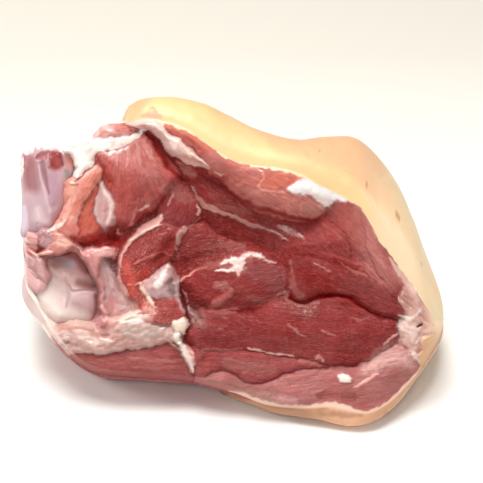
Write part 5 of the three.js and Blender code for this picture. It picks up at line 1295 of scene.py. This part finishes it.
def quarter_turn(start, end, name, along_first):
    """Points of a blunt quarter ellipse from start to end, which are (v, w) arrays over the stations."""
    steps, fullness = TURNS[name]
    angle = np.arange(steps) / steps * math.pi / 2
    s, c = np.sin(angle) ** (2 / fullness), 1 - np.cos(angle) ** (2 / fullness)
    first, second = (s, c) if along_first else (c, s)
    v = start[0][:, None] + (end[0] - start[0])[:, None] * first
    w = start[1][:, None] + (end[1] - start[1])[:, None] * second
    return v, w


def to_row(u, v, w):
    """Sight frame in millimetres to the part's own frame in metres."""
    near = (SIGHT_DISTANCE - w) / SIGHT_DISTANCE
    sin, cos = math.sin(SIGHT_ELEVATION), math.cos(SIGHT_ELEVATION)
    x = u * near + ROW_SHIFT[0]
    y = v * near * sin - w * cos + ROW_SHIFT[1]
    z = MIDDLE_HEIGHT + v * near * cos + w * sin
    return np.stack([x, y, z], axis=-1) * MM


def stations(main, ends):
    """u of each section, and how far it has opened from a point at either end."""
    share = np.arange(1, ends) / ends
    closing = 1 - (1 - share**END_FULLNESS) ** (1 / END_FULLNESS)
    left = LEFT_END + LEFT_ROUNDING * closing
    right = RIGHT_END - RIGHT_ROUNDING * closing[::-1]
    middle = np.linspace(LEFT_END + LEFT_ROUNDING, RIGHT_END - RIGHT_ROUNDING, main + 1)
    return np.concatenate([left, middle, right]), np.concatenate([share, np.ones(main + 1), share[::-1]])


def over_points(values, like):
    """One value for each station, repeated for each point of its section."""
    return np.repeat(values[:, None], like, axis=1)


def face_surface(us, rim_top, rim_bottom, shape):
    """The cut face from the lower rim up to the upper one."""
    share = np.arange(shape.face_steps) / shape.face_steps
    v = rim_bottom[0][:, None] + (rim_top[0] - rim_bottom[0])[:, None] * share
    rim_w = rim_bottom[1][:, None] + (rim_top[1] - rim_bottom[1])[:, None] * share
    face = cut_face(over_points(us, shape.face_steps), v)
    face["height"] = face["height"] * shape.relief
    above, below = rim_top[0][:, None] - v, v - rim_bottom[0][:, None]
    dress_rims(face, above, below)
    lift = smooth(0, profile(FACE_BLEND, us)[:, None], np.minimum(above, below))
    face["w"] = rim_w + (face["height"] - rim_w) * lift
    return face


def skin_surface(us, top, back, bottom, rim_top, rim_bottom):
    """The rind from the upper rim over the back to the lower one, and how bare of it each point is."""
    parts = [quarter_turn(rim_top, top, "edge", True), quarter_turn(top, back, "upper", False),
             quarter_turn(back, bottom, "under", True), quarter_turn(bottom, rim_bottom, "lip", False)]
    v, w = (np.concatenate([part[k] for part in parts], axis=1) for k in (0, 1))
    count = v.shape[1]
    u = over_points(us, count)
    around = np.repeat((np.arange(count) / count)[None], len(us), axis=0)
    border = profile(RIND_BORDER, around) + pattern(rough, RIND_EDGE_SWAY, around, around)
    bare = 1 - smooth(border - RIND_BORDER_SOFTNESS, border, u)
    centre_v = (rim_top[0] + rim_bottom[0])[:, None] / 2
    centre_w = (rim_top[1] + rim_bottom[1])[:, None] / 2 - SKIN_CENTRE_BACK
    out_v, out_w = v - centre_v, w - centre_w
    lumps = pattern(rough, SKIN_LUMPS, u, around) + pattern(rough, SKIN_WRINKLES, u, around)
    lumps *= smooth(0, RIM_CALM, around) * smooth(0, RIM_CALM, 1 - around)
    lift = lumps * (1 + BARE_LUMPS * bare) - bare * profile(RIND_STEP, around)
    scale = 1 + lift / np.hypot(out_v, out_w)
    return u, centre_v + out_v * scale, centre_w + out_w * scale, around, bare


def body_surface(shape, tints):
    """The hock's sections as arrays over station and place round the section."""
    us, opened = stations(shape.main_sections, shape.end_sections)
    top, back, bottom, rim_top, rim_bottom = (
        (profile(rows_v, us), profile(rows_w, us)) for rows_v, rows_w in (
            (TOP_V, TOP_W), (BACK_V, BACK_W), (BOTTOM_V, BOTTOM_W), (RIM_TOP_V, RIM_TOP_W),
            (RIM_BOTTOM_V, RIM_BOTTOM_W)))
    middle = {"v": ((top[0] + bottom[0]) / 2)[:, None], "w": ((back[1] + rim_top[1]) / 2)[:, None]}

    def closed(key, values):
        return middle[key] + (values - middle[key]) * opened[:, None]

    face = face_surface(us, rim_top, rim_bottom, shape)
    u, v, w, around, bare = skin_surface(us, top, back, bottom, rim_top, rim_bottom)
    cap = smooth(*LEFT_CAP, u)
    naked, naked_tissue, s, t = bare_colour(u, v, around, cap, closed("v", v), closed("w", w))
    rind = rind_marks(u, v, around, rind_colour(u, v, around, tints))
    skin = {"u": u, "v": v, "w": w, "colour": tinted(rind, naked, bare), "tissue": bare * naked_tissue,
            "rind": 1 - bare, "specks": np.full(bare.shape, SKIN_SPECKS), "along": s, "across": t}
    field = {key: np.concatenate([face[key], skin[key]], axis=1) for key in skin}
    points = to_row(field["u"], closed("v", field["v"]), closed("w", field["w"]))
    points[..., 2] = np.maximum(points[..., 2], 0)
    tips = [to_row(us[i], middle["v"][i, 0], middle["w"][i, 0]) + np.array([past * MM, 0, 0])
            for i, past in ((0, -TIP_PAST_END), (-1, TIP_PAST_END))]
    return points, np.array(tips), field


# ---------------------------------------------------------------- meshes


def new_mesh(name, vertices, quads, triangles=()):
    mesh = bpy.data.meshes.new(name)
    mesh.from_pydata(vertices.reshape(-1, 3).tolist(), [], [*map(list, quads), *map(list, triangles)])
    mesh.polygons.foreach_set("use_smooth", [True] * len(mesh.polygons))
    mesh.update()
    obj = bpy.data.objects.new(name, mesh)
    bpy.context.scene.collection.objects.link(obj)
    return obj


def closed_tube(name, points, tips):
    """A mesh round a tube of sections, closed by a fan to one point at either end."""
    sections, count = points.shape[:2]
    i, j = np.meshgrid(np.arange(sections - 1), np.arange(count), indexing="ij")
    a, b = i * count + j, i * count + (j + 1) % count
    quads = np.stack([a, a + count, b + count, b], axis=-1).reshape(-1, 4).tolist()
    ring = np.arange(count)
    pairs = list(zip(ring.tolist(), ((ring + 1) % count).tolist()))
    last, first_tip = (sections - 1) * count, sections * count
    fans = [[first_tip, p, q] for p, q in pairs] + [[first_tip + 1, last + q, last + p] for p, q in pairs]
    return new_mesh(name, np.concatenate([points.reshape(-1, 3), tips]), quads, fans)


def paint(obj, colour, look, grain):
    """Stores the pigment, the look (tissue, rind, specks) and the fibre coordinates on the mesh's points."""
    mesh = obj.data
    full = np.ones((len(mesh.vertices), 4))
    full[:, :3] = np.clip(colour.reshape(-1, 3), 0, 1)
    mesh.attributes.new("pigment", "FLOAT_COLOR", "POINT").data.foreach_set("color", full.ravel())
    for name, values in (("look", look), ("grain", grain)):
        layer = mesh.attributes.new(name, "FLOAT_VECTOR", "POINT")
        layer.data.foreach_set("vector", values.astype(float).ravel())


# ---------------------------------------------------------------- materials


class Nodes:
    """Adds nodes to a material, with their settings and links, one short call each."""

    def __init__(self, name):
        self.material = bpy.data.materials.new(name)
        self.material.use_nodes = True
        self.tree = self.material.node_tree
        self.shader = self.tree.nodes["Principled BSDF"]

    def add(self, kind, settings=None, **inputs):
        node = self.tree.nodes.new("ShaderNode" + kind)
        for key, value in (settings or {}).items():
            setattr(node, key, value)
        for key, value in inputs.items():
            self.put(node.inputs[key], value)
        return node

    def put(self, socket, value):
        if isinstance(value, bpy.types.NodeSocket):
            self.tree.links.new(value, socket)
        else:
            socket.default_value = value

    def finish(self, normal, **inputs):
        """Sets the shader's own inputs, whose names have _ for each space."""
        for key, value in inputs.items():
            self.put(self.shader.inputs[key.replace("_", " ")], value)
        if normal is not None:
            self.put(self.shader.inputs["Normal"], normal)
        return self.material

    def place(self):
        return self.add("TexCoord").outputs["Object"]

    def stored(self, name, output="Vector"):
        return self.add("Attribute", {"attribute_name": name}).outputs[output]

    def part(self, vector, index):
        return self.add("SeparateXYZ", None, Vector=vector).outputs[index]

    def noise(self, vector, size, detail=3, roughness=0.55, distortion=0):
        """Noise that changes over about the size, in the vector's own unit."""
        node = self.add("TexNoise", Vector=vector, Scale=1 / size, Detail=detail, Roughness=roughness,
                        Distortion=distortion)
        return node.outputs["Fac"]

    def cells(self, vector, size):
        """Distance from the middle of each cell of the size."""
        return self.add("TexVoronoi", {"feature": "F1"}, Vector=vector, Scale=1 / size).outputs["Distance"]

    def times(self, a, b, clamp=False):
        node = self.add("Math", {"operation": "MULTIPLY", "use_clamp": clamp})
        self.put(node.inputs[0], a)
        self.put(node.inputs[1], b)
        return node.outputs[0]

    def range(self, value, low, high, out_low=0.0, out_high=1.0):
        node = self.add("MapRange", {"clamp": True}, Value=value)
        for key, x in (("From Min", low), ("From Max", high), ("To Min", out_low), ("To Max", out_high)):
            self.put(node.inputs[key], x)
        return node.outputs[0]

    def mix(self, factor, a, b, blend="MIX"):
        node = self.add("Mix", {"data_type": "RGBA", "blend_type": blend})
        for index, value in zip(MIX_SOCKETS, (factor, a, b)):
            self.put(node.inputs[index], value)
        return node.outputs[2]

    def stretched(self, vector, x, y, z):
        return self.add("Mapping", None, Vector=vector, Scale=(x, y, z)).outputs[0]

    def bump(self, height, strength, distance, normal=None):
        node = self.add("Bump", None, Height=height, Strength=strength, Distance=distance)
        if normal is not None:
            self.put(node.inputs["Normal"], normal)
        return node.outputs[0]


def rgba(colour):
    return (*linear(colour), 1)


def muscle_material(shape, tints):
    """Cured pork muscle, cut and moist: fibres along the grain, pale specks painted in as glints where wet,
    and a coat that glints there too.
    """
    n = Nodes("Cured pork muscle")
    pigment, grain, place = n.stored("pigment", "Color"), n.stored("grain"), n.place()
    amount = n.part(n.stored("look"), 2)
    fibres = n.noise(n.stretched(grain, *FIBRES_PER_MM), 1.0, 4, 0.62, 0.7)
    fine = n.noise(n.stretched(grain, *FINE_FIBRES_PER_MM), 1.0, 3, 0.6, 0.5)
    cells = n.noise(place, shape.speck_width, 2, 0.7, 1.2)
    regions = n.noise(place, MARBLED_REGION, 3, 0.6)
    mottled = n.mix(n.range(fibres, 0.36, 0.7, 0.0, 0.7), pigment, DARK_FIBRE, "MULTIPLY")
    lightened = n.mix(n.range(fine, 0.52, 0.78, 0.0, 0.45), mottled, rgba("#D8847A"))
    # pale specks in the base colour: painted glints of wetness
    cluster = n.times(amount, n.range(regions, 0.4, 0.62, 0.1, 0.7))
    speck = n.times(n.range(cells, 0.52, 0.7), cluster, True)
    coarse = n.bump(fibres, 0.7, 1.5 * MM, n.bump(regions, 0.4, 3 * MM))
    return n.finish(
        n.bump(cells, 0.7, 0.5 * MM, n.bump(fine, 0.6, 0.8 * MM, coarse)),
        Base_Color=n.mix(speck, lightened, (*tints.painted_glints, 1)),
        Roughness=n.range(cells, 0.35, 0.65, 0.3, 0.45),
        Specular_Tint=rgba("#FFA8A0"), Specular_IOR_Level=0.3,
        Subsurface_Weight=0.2, Subsurface_Radius=(1.0, 0.2, 0.12), Subsurface_Scale=3 * MM,
        Coat_Weight=n.times(cluster, 0.5), Coat_Roughness=0.15)


def sinew_material():
    """Pork fat, sinew and fascia: smooth, waxy, faintly lumpy and wet."""
    n = Nodes("Pork fat and sinew")
    lumps = n.noise(n.place(), SINEW_LUMP, 4)
    strands = n.noise(n.stretched(n.stored("grain"), *STRANDS_PER_MM), 1.0, 3, 0.6)
    toned = n.mix(n.range(lumps, 0.4, 0.75, 0.0, 0.4), n.stored("pigment", "Color"), DARK_SINEW, "MULTIPLY")
    return n.finish(
        n.bump(lumps, 0.4, 0.6 * MM, n.bump(strands, 0.3, 0.5 * MM)),
        Base_Color=n.mix(n.range(strands, 0.55, 0.75, 0.0, 0.3), toned, rgba("#FFF4EA")),
        Roughness=n.range(lumps, 0.3, 0.7, 0.25, 0.42),
        Subsurface_Weight=0.35, Subsurface_Radius=(1.0, 0.55, 0.4), Subsurface_Scale=3 * MM,
        Coat_Weight=0.35, Coat_Roughness=0.12)


def rind_material(shape):
    """Pork rind: scalded skin, cream to peach, with pores, fine creases and a few dark specks."""
    n = Nodes("Pork rind")
    place = n.place()
    clouds = n.noise(place, RIND_CLOUD, 4, 0.6)
    creases = n.noise(n.stretched(place, 1.0, 0.35, 0.35), RIND_CREASE, 4, 0.6)
    pores, specks = n.cells(place, shape.pore_spacing), n.cells(place, RIND_SPECK_SPACING)
    toned = n.mix(n.range(clouds, 0.4, 0.7, 0.0, 0.35), n.stored("pigment", "Color"), DARK_RIND, "MULTIPLY")
    specked = n.mix(n.range(specks, 0.05, 0.02, 0.0, 0.5), toned, rgba("#B07848"))
    return n.finish(
        n.bump(creases, 0.35, 0.5 * MM, n.bump(n.range(pores, 0.0, 0.3), 0.25, 0.3 * MM)),
        Base_Color=n.mix(n.range(pores, 0.16, 0.05, 0.0, 0.12), specked, rgba("#C8925E")),
        Roughness=n.range(clouds, 0.3, 0.7, 0.42, 0.58),
        Subsurface_Weight=0.3, Subsurface_Radius=(1.0, 0.6, 0.35), Subsurface_Scale=4 * MM,
        Coat_Weight=0.1, Coat_Roughness=0.3)


def cartilage_material():
    """Joint cartilage over bone: milky, lavender-pink and wet."""
    n = Nodes("Joint cartilage")
    place = n.place()
    clouds, film = n.noise(place, CARTILAGE_CLOUD, 3, 0.5), n.noise(place, CARTILAGE_FILM)
    pigment = n.stored("pigment", "Color")
    return n.finish(
        n.bump(clouds, 0.3, 1.2 * MM, n.bump(film, 0.2, 0.2 * MM)),
        Base_Color=n.mix(n.range(clouds, 0.4, 0.7, 0.0, 0.3), pigment, DARK_CARTILAGE, "MULTIPLY"),
        Roughness=n.range(film, 0.3, 0.7, 0.3, 0.42), Specular_IOR_Level=0.35,
        Subsurface_Weight=0.4, Subsurface_Radius=(1.0, 0.6, 0.6), Subsurface_Scale=3 * MM,
        Coat_Weight=0.08, Coat_Roughness=0.3)


def table_material(near):
    """A matt white table top, with painted shade that makes it a little darker and warmer further back."""
    n = Nodes("White table top")
    place = n.place()
    # painted shade further back on the table
    white = n.mix(n.range(n.part(place, 1), *TABLE_SHADE_BACK), (*near, 1), rgba("#EAE5DA"))
    grainy = n.range(n.noise(place, TABLE_CLOUD, 2, 0.5), 0.3, 0.7, 0.0, 0.02)
    colour = n.mix(grainy, white, rgba("#E8E0D8"))
    return n.finish(None, Base_Color=colour, Roughness=0.7, Specular_IOR_Level=0.2)


# ---------------------------------------------------------------- settings


def tint(name, description, colour):
    """A colour setting whose default is an sRGB hex colour."""
    return bpy.props.FloatVectorProperty(
        name=name, description=description, default=linear(colour).tolist(), subtype="COLOR",
        size=3, min=0, max=1)


class HockShape(bpy.types.PropertyGroup):
    """The sizes of what the cut face and the joint show, and how finely the hock is made."""
    relief: bpy.props.FloatProperty(
        name="Relief", description="How strongly muscles and sinews stand out", default=1, min=0)
    bone_depth: bpy.props.FloatProperty(
        name="Bone depth", description="How far a bone head reaches back",
        default=26 * MM, min=0, unit="LENGTH")
    speck_width: bpy.props.FloatProperty(
        name="Speck width", description="Width of the pale specks in the muscle",
        default=MM / 1.1, min=0.1 * MM, unit="LENGTH")
    pore_spacing: bpy.props.FloatProperty(
        name="Pore spacing", description="From pore to pore on the rind",
        default=MM / 0.32, min=0.1 * MM, unit="LENGTH")
    main_sections: bpy.props.IntProperty(
        name="Sections", description="Sections along the hock", default=262, min=20)
    end_sections: bpy.props.IntProperty(
        name="End sections", description="Sections in each rounded end", default=14, min=4)
    face_steps: bpy.props.IntProperty(
        name="Face steps", description="Points up the cut face", default=220, min=20)


class HockColours(bpy.types.PropertyGroup):
    """The colours of the rind, the cartilage and the pale specks painted as glints in the muscle."""
    rind_cream: tint("Rind at the top", "Fat side of the rind, along the cut face", "#F5D099")
    rind_peach: tint("Rind at the back", "Outer skin", "#F2BD92")
    rind_tan: tint("Rind below", "Skin on the underside", "#D5A27E")
    # also the colour of the painted shade under the left of the rind
    rind_stain_and_shade: tint("Rind stains and shade", "Stains and painted shade on the skin of the underside", "#A06E54")
    upper_bone: tint("Upper bone head", "Cartilage of the upper bone head", "#C5A1A7")
    lower_bone: tint("Lower bone head", "Cartilage of the lower bone head", "#DCC0BE")
    # colour of the pale specks painted as glints in the muscle
    painted_glints: tint("Painted glints", "Pale specks in the muscle", "#F4BFB4")


class HockStage(bpy.types.PropertyGroup):
    """The table, the light and the camera."""
    light_power: bpy.props.FloatProperty(
        name="Light", description="Power of the large lamp overhead", default=18.3, min=0, unit="POWER")
    sky_level: bpy.props.FloatProperty(
        name="Sky", description="Brightness of the light from all round", default=0.1, min=0)
    aim_right: bpy.props.FloatProperty(
        name="Aim right", description="Where the camera aims, right of the middle",
        default=4.275 * MM, unit="LENGTH")
    aim_up: bpy.props.FloatProperty(
        name="Aim up", description="Where the camera aims, above the middle",
        default=9.225 * MM, unit="LENGTH")
    field_width: bpy.props.FloatProperty(
        name="Field width", description="Width of the picture at the hock",
        default=217.35 * MM, unit="LENGTH")
    table: tint("Table", "Table top near the hock", "#FCFCFA")
    sky: tint("Sky colour", "Colour of the light from all round", "#FFFDFA")


# ---------------------------------------------------------------- operators


def material_slots(obj, look):
    """The material of each face, from the tissue and rind at its first corner: muscle, sinew or rind."""
    mesh = obj.data
    corners, starts = np.empty(len(mesh.loops), np.int64), np.empty(len(mesh.polygons), np.int64)
    mesh.loops.foreach_get("vertex_index", corners)
    mesh.polygons.foreach_get("loop_start", starts)
    tissue, rind, _ = look[corners[starts]].T
    return np.where(rind > 0.5, 2, np.where(tissue > 0.5, 1, 0)).astype(np.int32)


class HOCK_OT_meat(bpy.types.Operator):
    """Makes the body: muscles, fat and sinew in the cut face, and the rind round it"""
    bl_idname = "hock.meat"
    bl_label = "Meat and rind"

    def execute(self, context):
        shape, tints = context.scene.hock_shape, context.scene.hock_colours
        points, tips, field = body_surface(shape, tints)
        obj = closed_tube("cured_meat_and_rind", points, tips)
        colour = np.concatenate([field["colour"].reshape(-1, 3), field["colour"][[0, -1], TIP_COLOUR_PLACE]])
        look = np.stack([field["tissue"], field["rind"], field["specks"]], axis=-1).reshape(-1, 3)
        look = np.concatenate([look, [TIP_LOOK, TIP_LOOK]])
        flat = np.zeros(points.shape[:2])
        grain = np.stack([field["along"], field["across"], flat], axis=-1).reshape(-1, 3)
        paint(obj, colour, look, np.concatenate([grain, np.zeros((2, 3))]))
        for material in (muscle_material(shape, tints), sinew_material(), rind_material(shape)):
            obj.data.materials.append(material)
        obj.data.polygons.foreach_set("material_index", material_slots(obj, look))
        obj.data.update()
        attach(obj, "root")
        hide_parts("meat_and_rind")
        return {"FINISHED"}


def bone_front(bone, pigment, u, v, share):
    """The front of a bone head: how far out it stands and its colour."""
    height = bone.level - BONE_DROP * share**bone.rounding + pattern(rough, BONE_LUMPS, u, v)
    shade = 1 + pattern(rough, BONE_SHADES, u, v)
    colour = np.broadcast_to(pigment, (*u.shape, 3)) * shade[..., None]
    for seed, mark in enumerate(bone.marks):
        span, _ = path_share(stroke(mark, BONE_MARK_STEPS), u, v)
        cover = stroke_cover(mark, span + mark.ragged * pattern(noise, BONE_FRAY, u, v, seed))
        height = height + mark.rise * (1 - smooth(0, BONE_MARK_FOOT, span))
        colour = tinted(colour, mark.colour, cover)
    return height, colour


def add_bone(name, bone, pigment, depth):
    """One bone head: its marked front, and a plain rounded back that reaches depth millimetres in."""
    loop = smooth_loop(bone.at, BONE_LOOP_STEPS)
    centre = np.array(bone.centre)

    def rings(share):
        return (centre[k] + share[:, None] * (loop[:, k] - centre[k]) for k in (0, 1))

    share = np.linspace(0, 1, BONE_FRONT_RINGS + 1)[1:]
    angle = np.linspace(0, math.pi / 2, BONE_BACK_RINGS + 2)[1:-1]
    (u, v), (back_u, back_v) = rings(share), rings(np.cos(angle))
    w, colour = bone_front(bone, pigment, u, v, over_points(share, len(loop)))
    back_w = w[-1] - np.sin(angle)[:, None] * (depth + w[-1] - w[-1].mean())
    place = [np.concatenate(pair) for pair in ((u, back_u), (v, back_v), (w, back_w))]
    tip_w, _ = bone_front(bone, pigment, centre[:1], centre[1:], np.zeros(1))
    tips = np.array([to_row(*centre, tip_w[0]), to_row(*centre, w[-1].mean() - depth)])
    obj = closed_tube(name, to_row(*place), tips)
    obj.data.flip_normals()
    back_colour = np.broadcast_to(colour[-1], (len(angle), *colour[-1].shape))
    colours = np.concatenate([colour, back_colour]).reshape(-1, 3)
    colours = np.concatenate([colours, colour[0, :1], colour[-1, :1]])
    grain = np.concatenate([np.stack(place, axis=-1).reshape(-1, 3), np.zeros((2, 3))])
    paint(obj, colours, np.zeros(grain.shape), grain)
    return obj


class HOCK_OT_bones(bpy.types.Operator):
    """Makes the bone heads in the opened joint, with cartilage over them"""
    bl_idname = "hock.bones"
    bl_label = "Joint bones"

    def execute(self, context):
        material = cartilage_material()
        tints, depth = context.scene.hock_colours, context.scene.hock_shape.bone_depth / MM
        for name, bone in BONES.items():
            pigment = np.array(getattr(tints, bone.tint))
            obj = add_bone(name.replace("_joint_bone", "_bone_head"), bone, pigment, depth)
            obj.data.materials.append(material)
            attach(obj, "root")
            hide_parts(name)
        return {"FINISHED"}


def sight_point(right, up, out):
    """A point of the sight frame, given straight in metres without the eye's narrowing."""
    sin, cos = math.sin(SIGHT_ELEVATION), math.cos(SIGHT_ELEVATION)
    middle = Vector((ROW_SHIFT[0] * MM, ROW_SHIFT[1] * MM, MIDDLE_HEIGHT * MM))
    return middle + Vector((right, up * sin - out * cos, up * cos + out * sin))


def place_facing(name, data, place, target):
    """Links an object for the lamp or camera at place, turned towards target."""
    obj = bpy.data.objects.new(name, data)
    obj.location = place
    obj.rotation_euler = (Vector(target) - Vector(place)).to_track_quat("-Z", "Y").to_euler()
    bpy.context.scene.collection.objects.link(obj)
    return obj


class HOCK_OT_stage(bpy.types.Operator):
    """Sets the table, the light and the camera"""
    bl_idname = "hock.stage"
    bl_label = "Table, light and camera"

    def execute(self, context):
        scene, stage = context.scene, context.scene.hock_stage
        corners = np.array([[-1, -1, 0], [1, -1, 0], [1, 1, 0], [-1, 1, 0]]) * TABLE_REACH
        table = new_mesh("table_top", corners, [[0, 1, 2, 3]])
        table.data.materials.append(table_material(stage.table))

        world = bpy.data.worlds.new("Soft sky")
        world.use_nodes = True
        background = world.node_tree.nodes["Background"].inputs
        background["Color"].default_value = (*stage.sky, 1)
        background["Strength"].default_value = stage.sky_level
        scene.world = world

        for name, (place, size, share) in LAMPS.items():
            lamp = bpy.data.lights.new(name, "AREA")
            lamp.energy, lamp.size, lamp.color = stage.light_power * share, size, LAMP_COLOUR
            place_facing(name, lamp, place, LAMP_AIM)

        camera = bpy.data.cameras.new("Camera")
        camera.sensor_width = SENSOR_WIDTH
        camera.lens = SENSOR_WIDTH * SIGHT_DISTANCE * MM / stage.field_width
        camera.clip_start = 10 * MM
        eye, target = sight_point(0, 0, SIGHT_DISTANCE * MM), sight_point(stage.aim_right, stage.aim_up, 0)
        scene.camera = place_facing("Camera", camera, eye, target)
        scene.view_settings.view_transform = "Standard"
        scene.view_settings.look = "None"
        return {"FINISHED"}


class HOCK_PT_panel(bpy.types.Panel):
    """Lists the operators and their settings in the 3D view's sidebar"""
    bl_idname = "HOCK_PT_panel"
    bl_label = "Ham Hock"
    bl_space_type = "VIEW_3D"
    bl_region_type = "UI"
    bl_category = "Ham Hock"

    def draw(self, context):
        for operator in (HOCK_OT_meat, HOCK_OT_bones, HOCK_OT_stage):
            self.layout.operator(operator.bl_idname)
        for group in GROUPS:
            settings = getattr(context.scene, group)
            for key in settings.__annotations__:
                self.layout.prop(settings, key)


GROUPS = {"hock_shape": HockShape, "hock_colours": HockColours, "hock_stage": HockStage}
CLASSES = (*GROUPS.values(), HOCK_OT_meat, HOCK_OT_bones, HOCK_OT_stage, HOCK_PT_panel)


def register():
    for item in CLASSES:
        bpy.utils.register_class(item)
    for name, group in GROUPS.items():
        setattr(bpy.types.Scene, name, bpy.props.PointerProperty(type=group))


def unregister():
    for name in GROUPS:
        delattr(bpy.types.Scene, name)
    for item in reversed(CLASSES):
        bpy.utils.unregister_class(item)


def main():
    register()
    bpy.ops.hock.meat()
    bpy.ops.hock.bones()
    bpy.ops.hock.stage()
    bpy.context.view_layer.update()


if __name__ == "__main__":
    main()
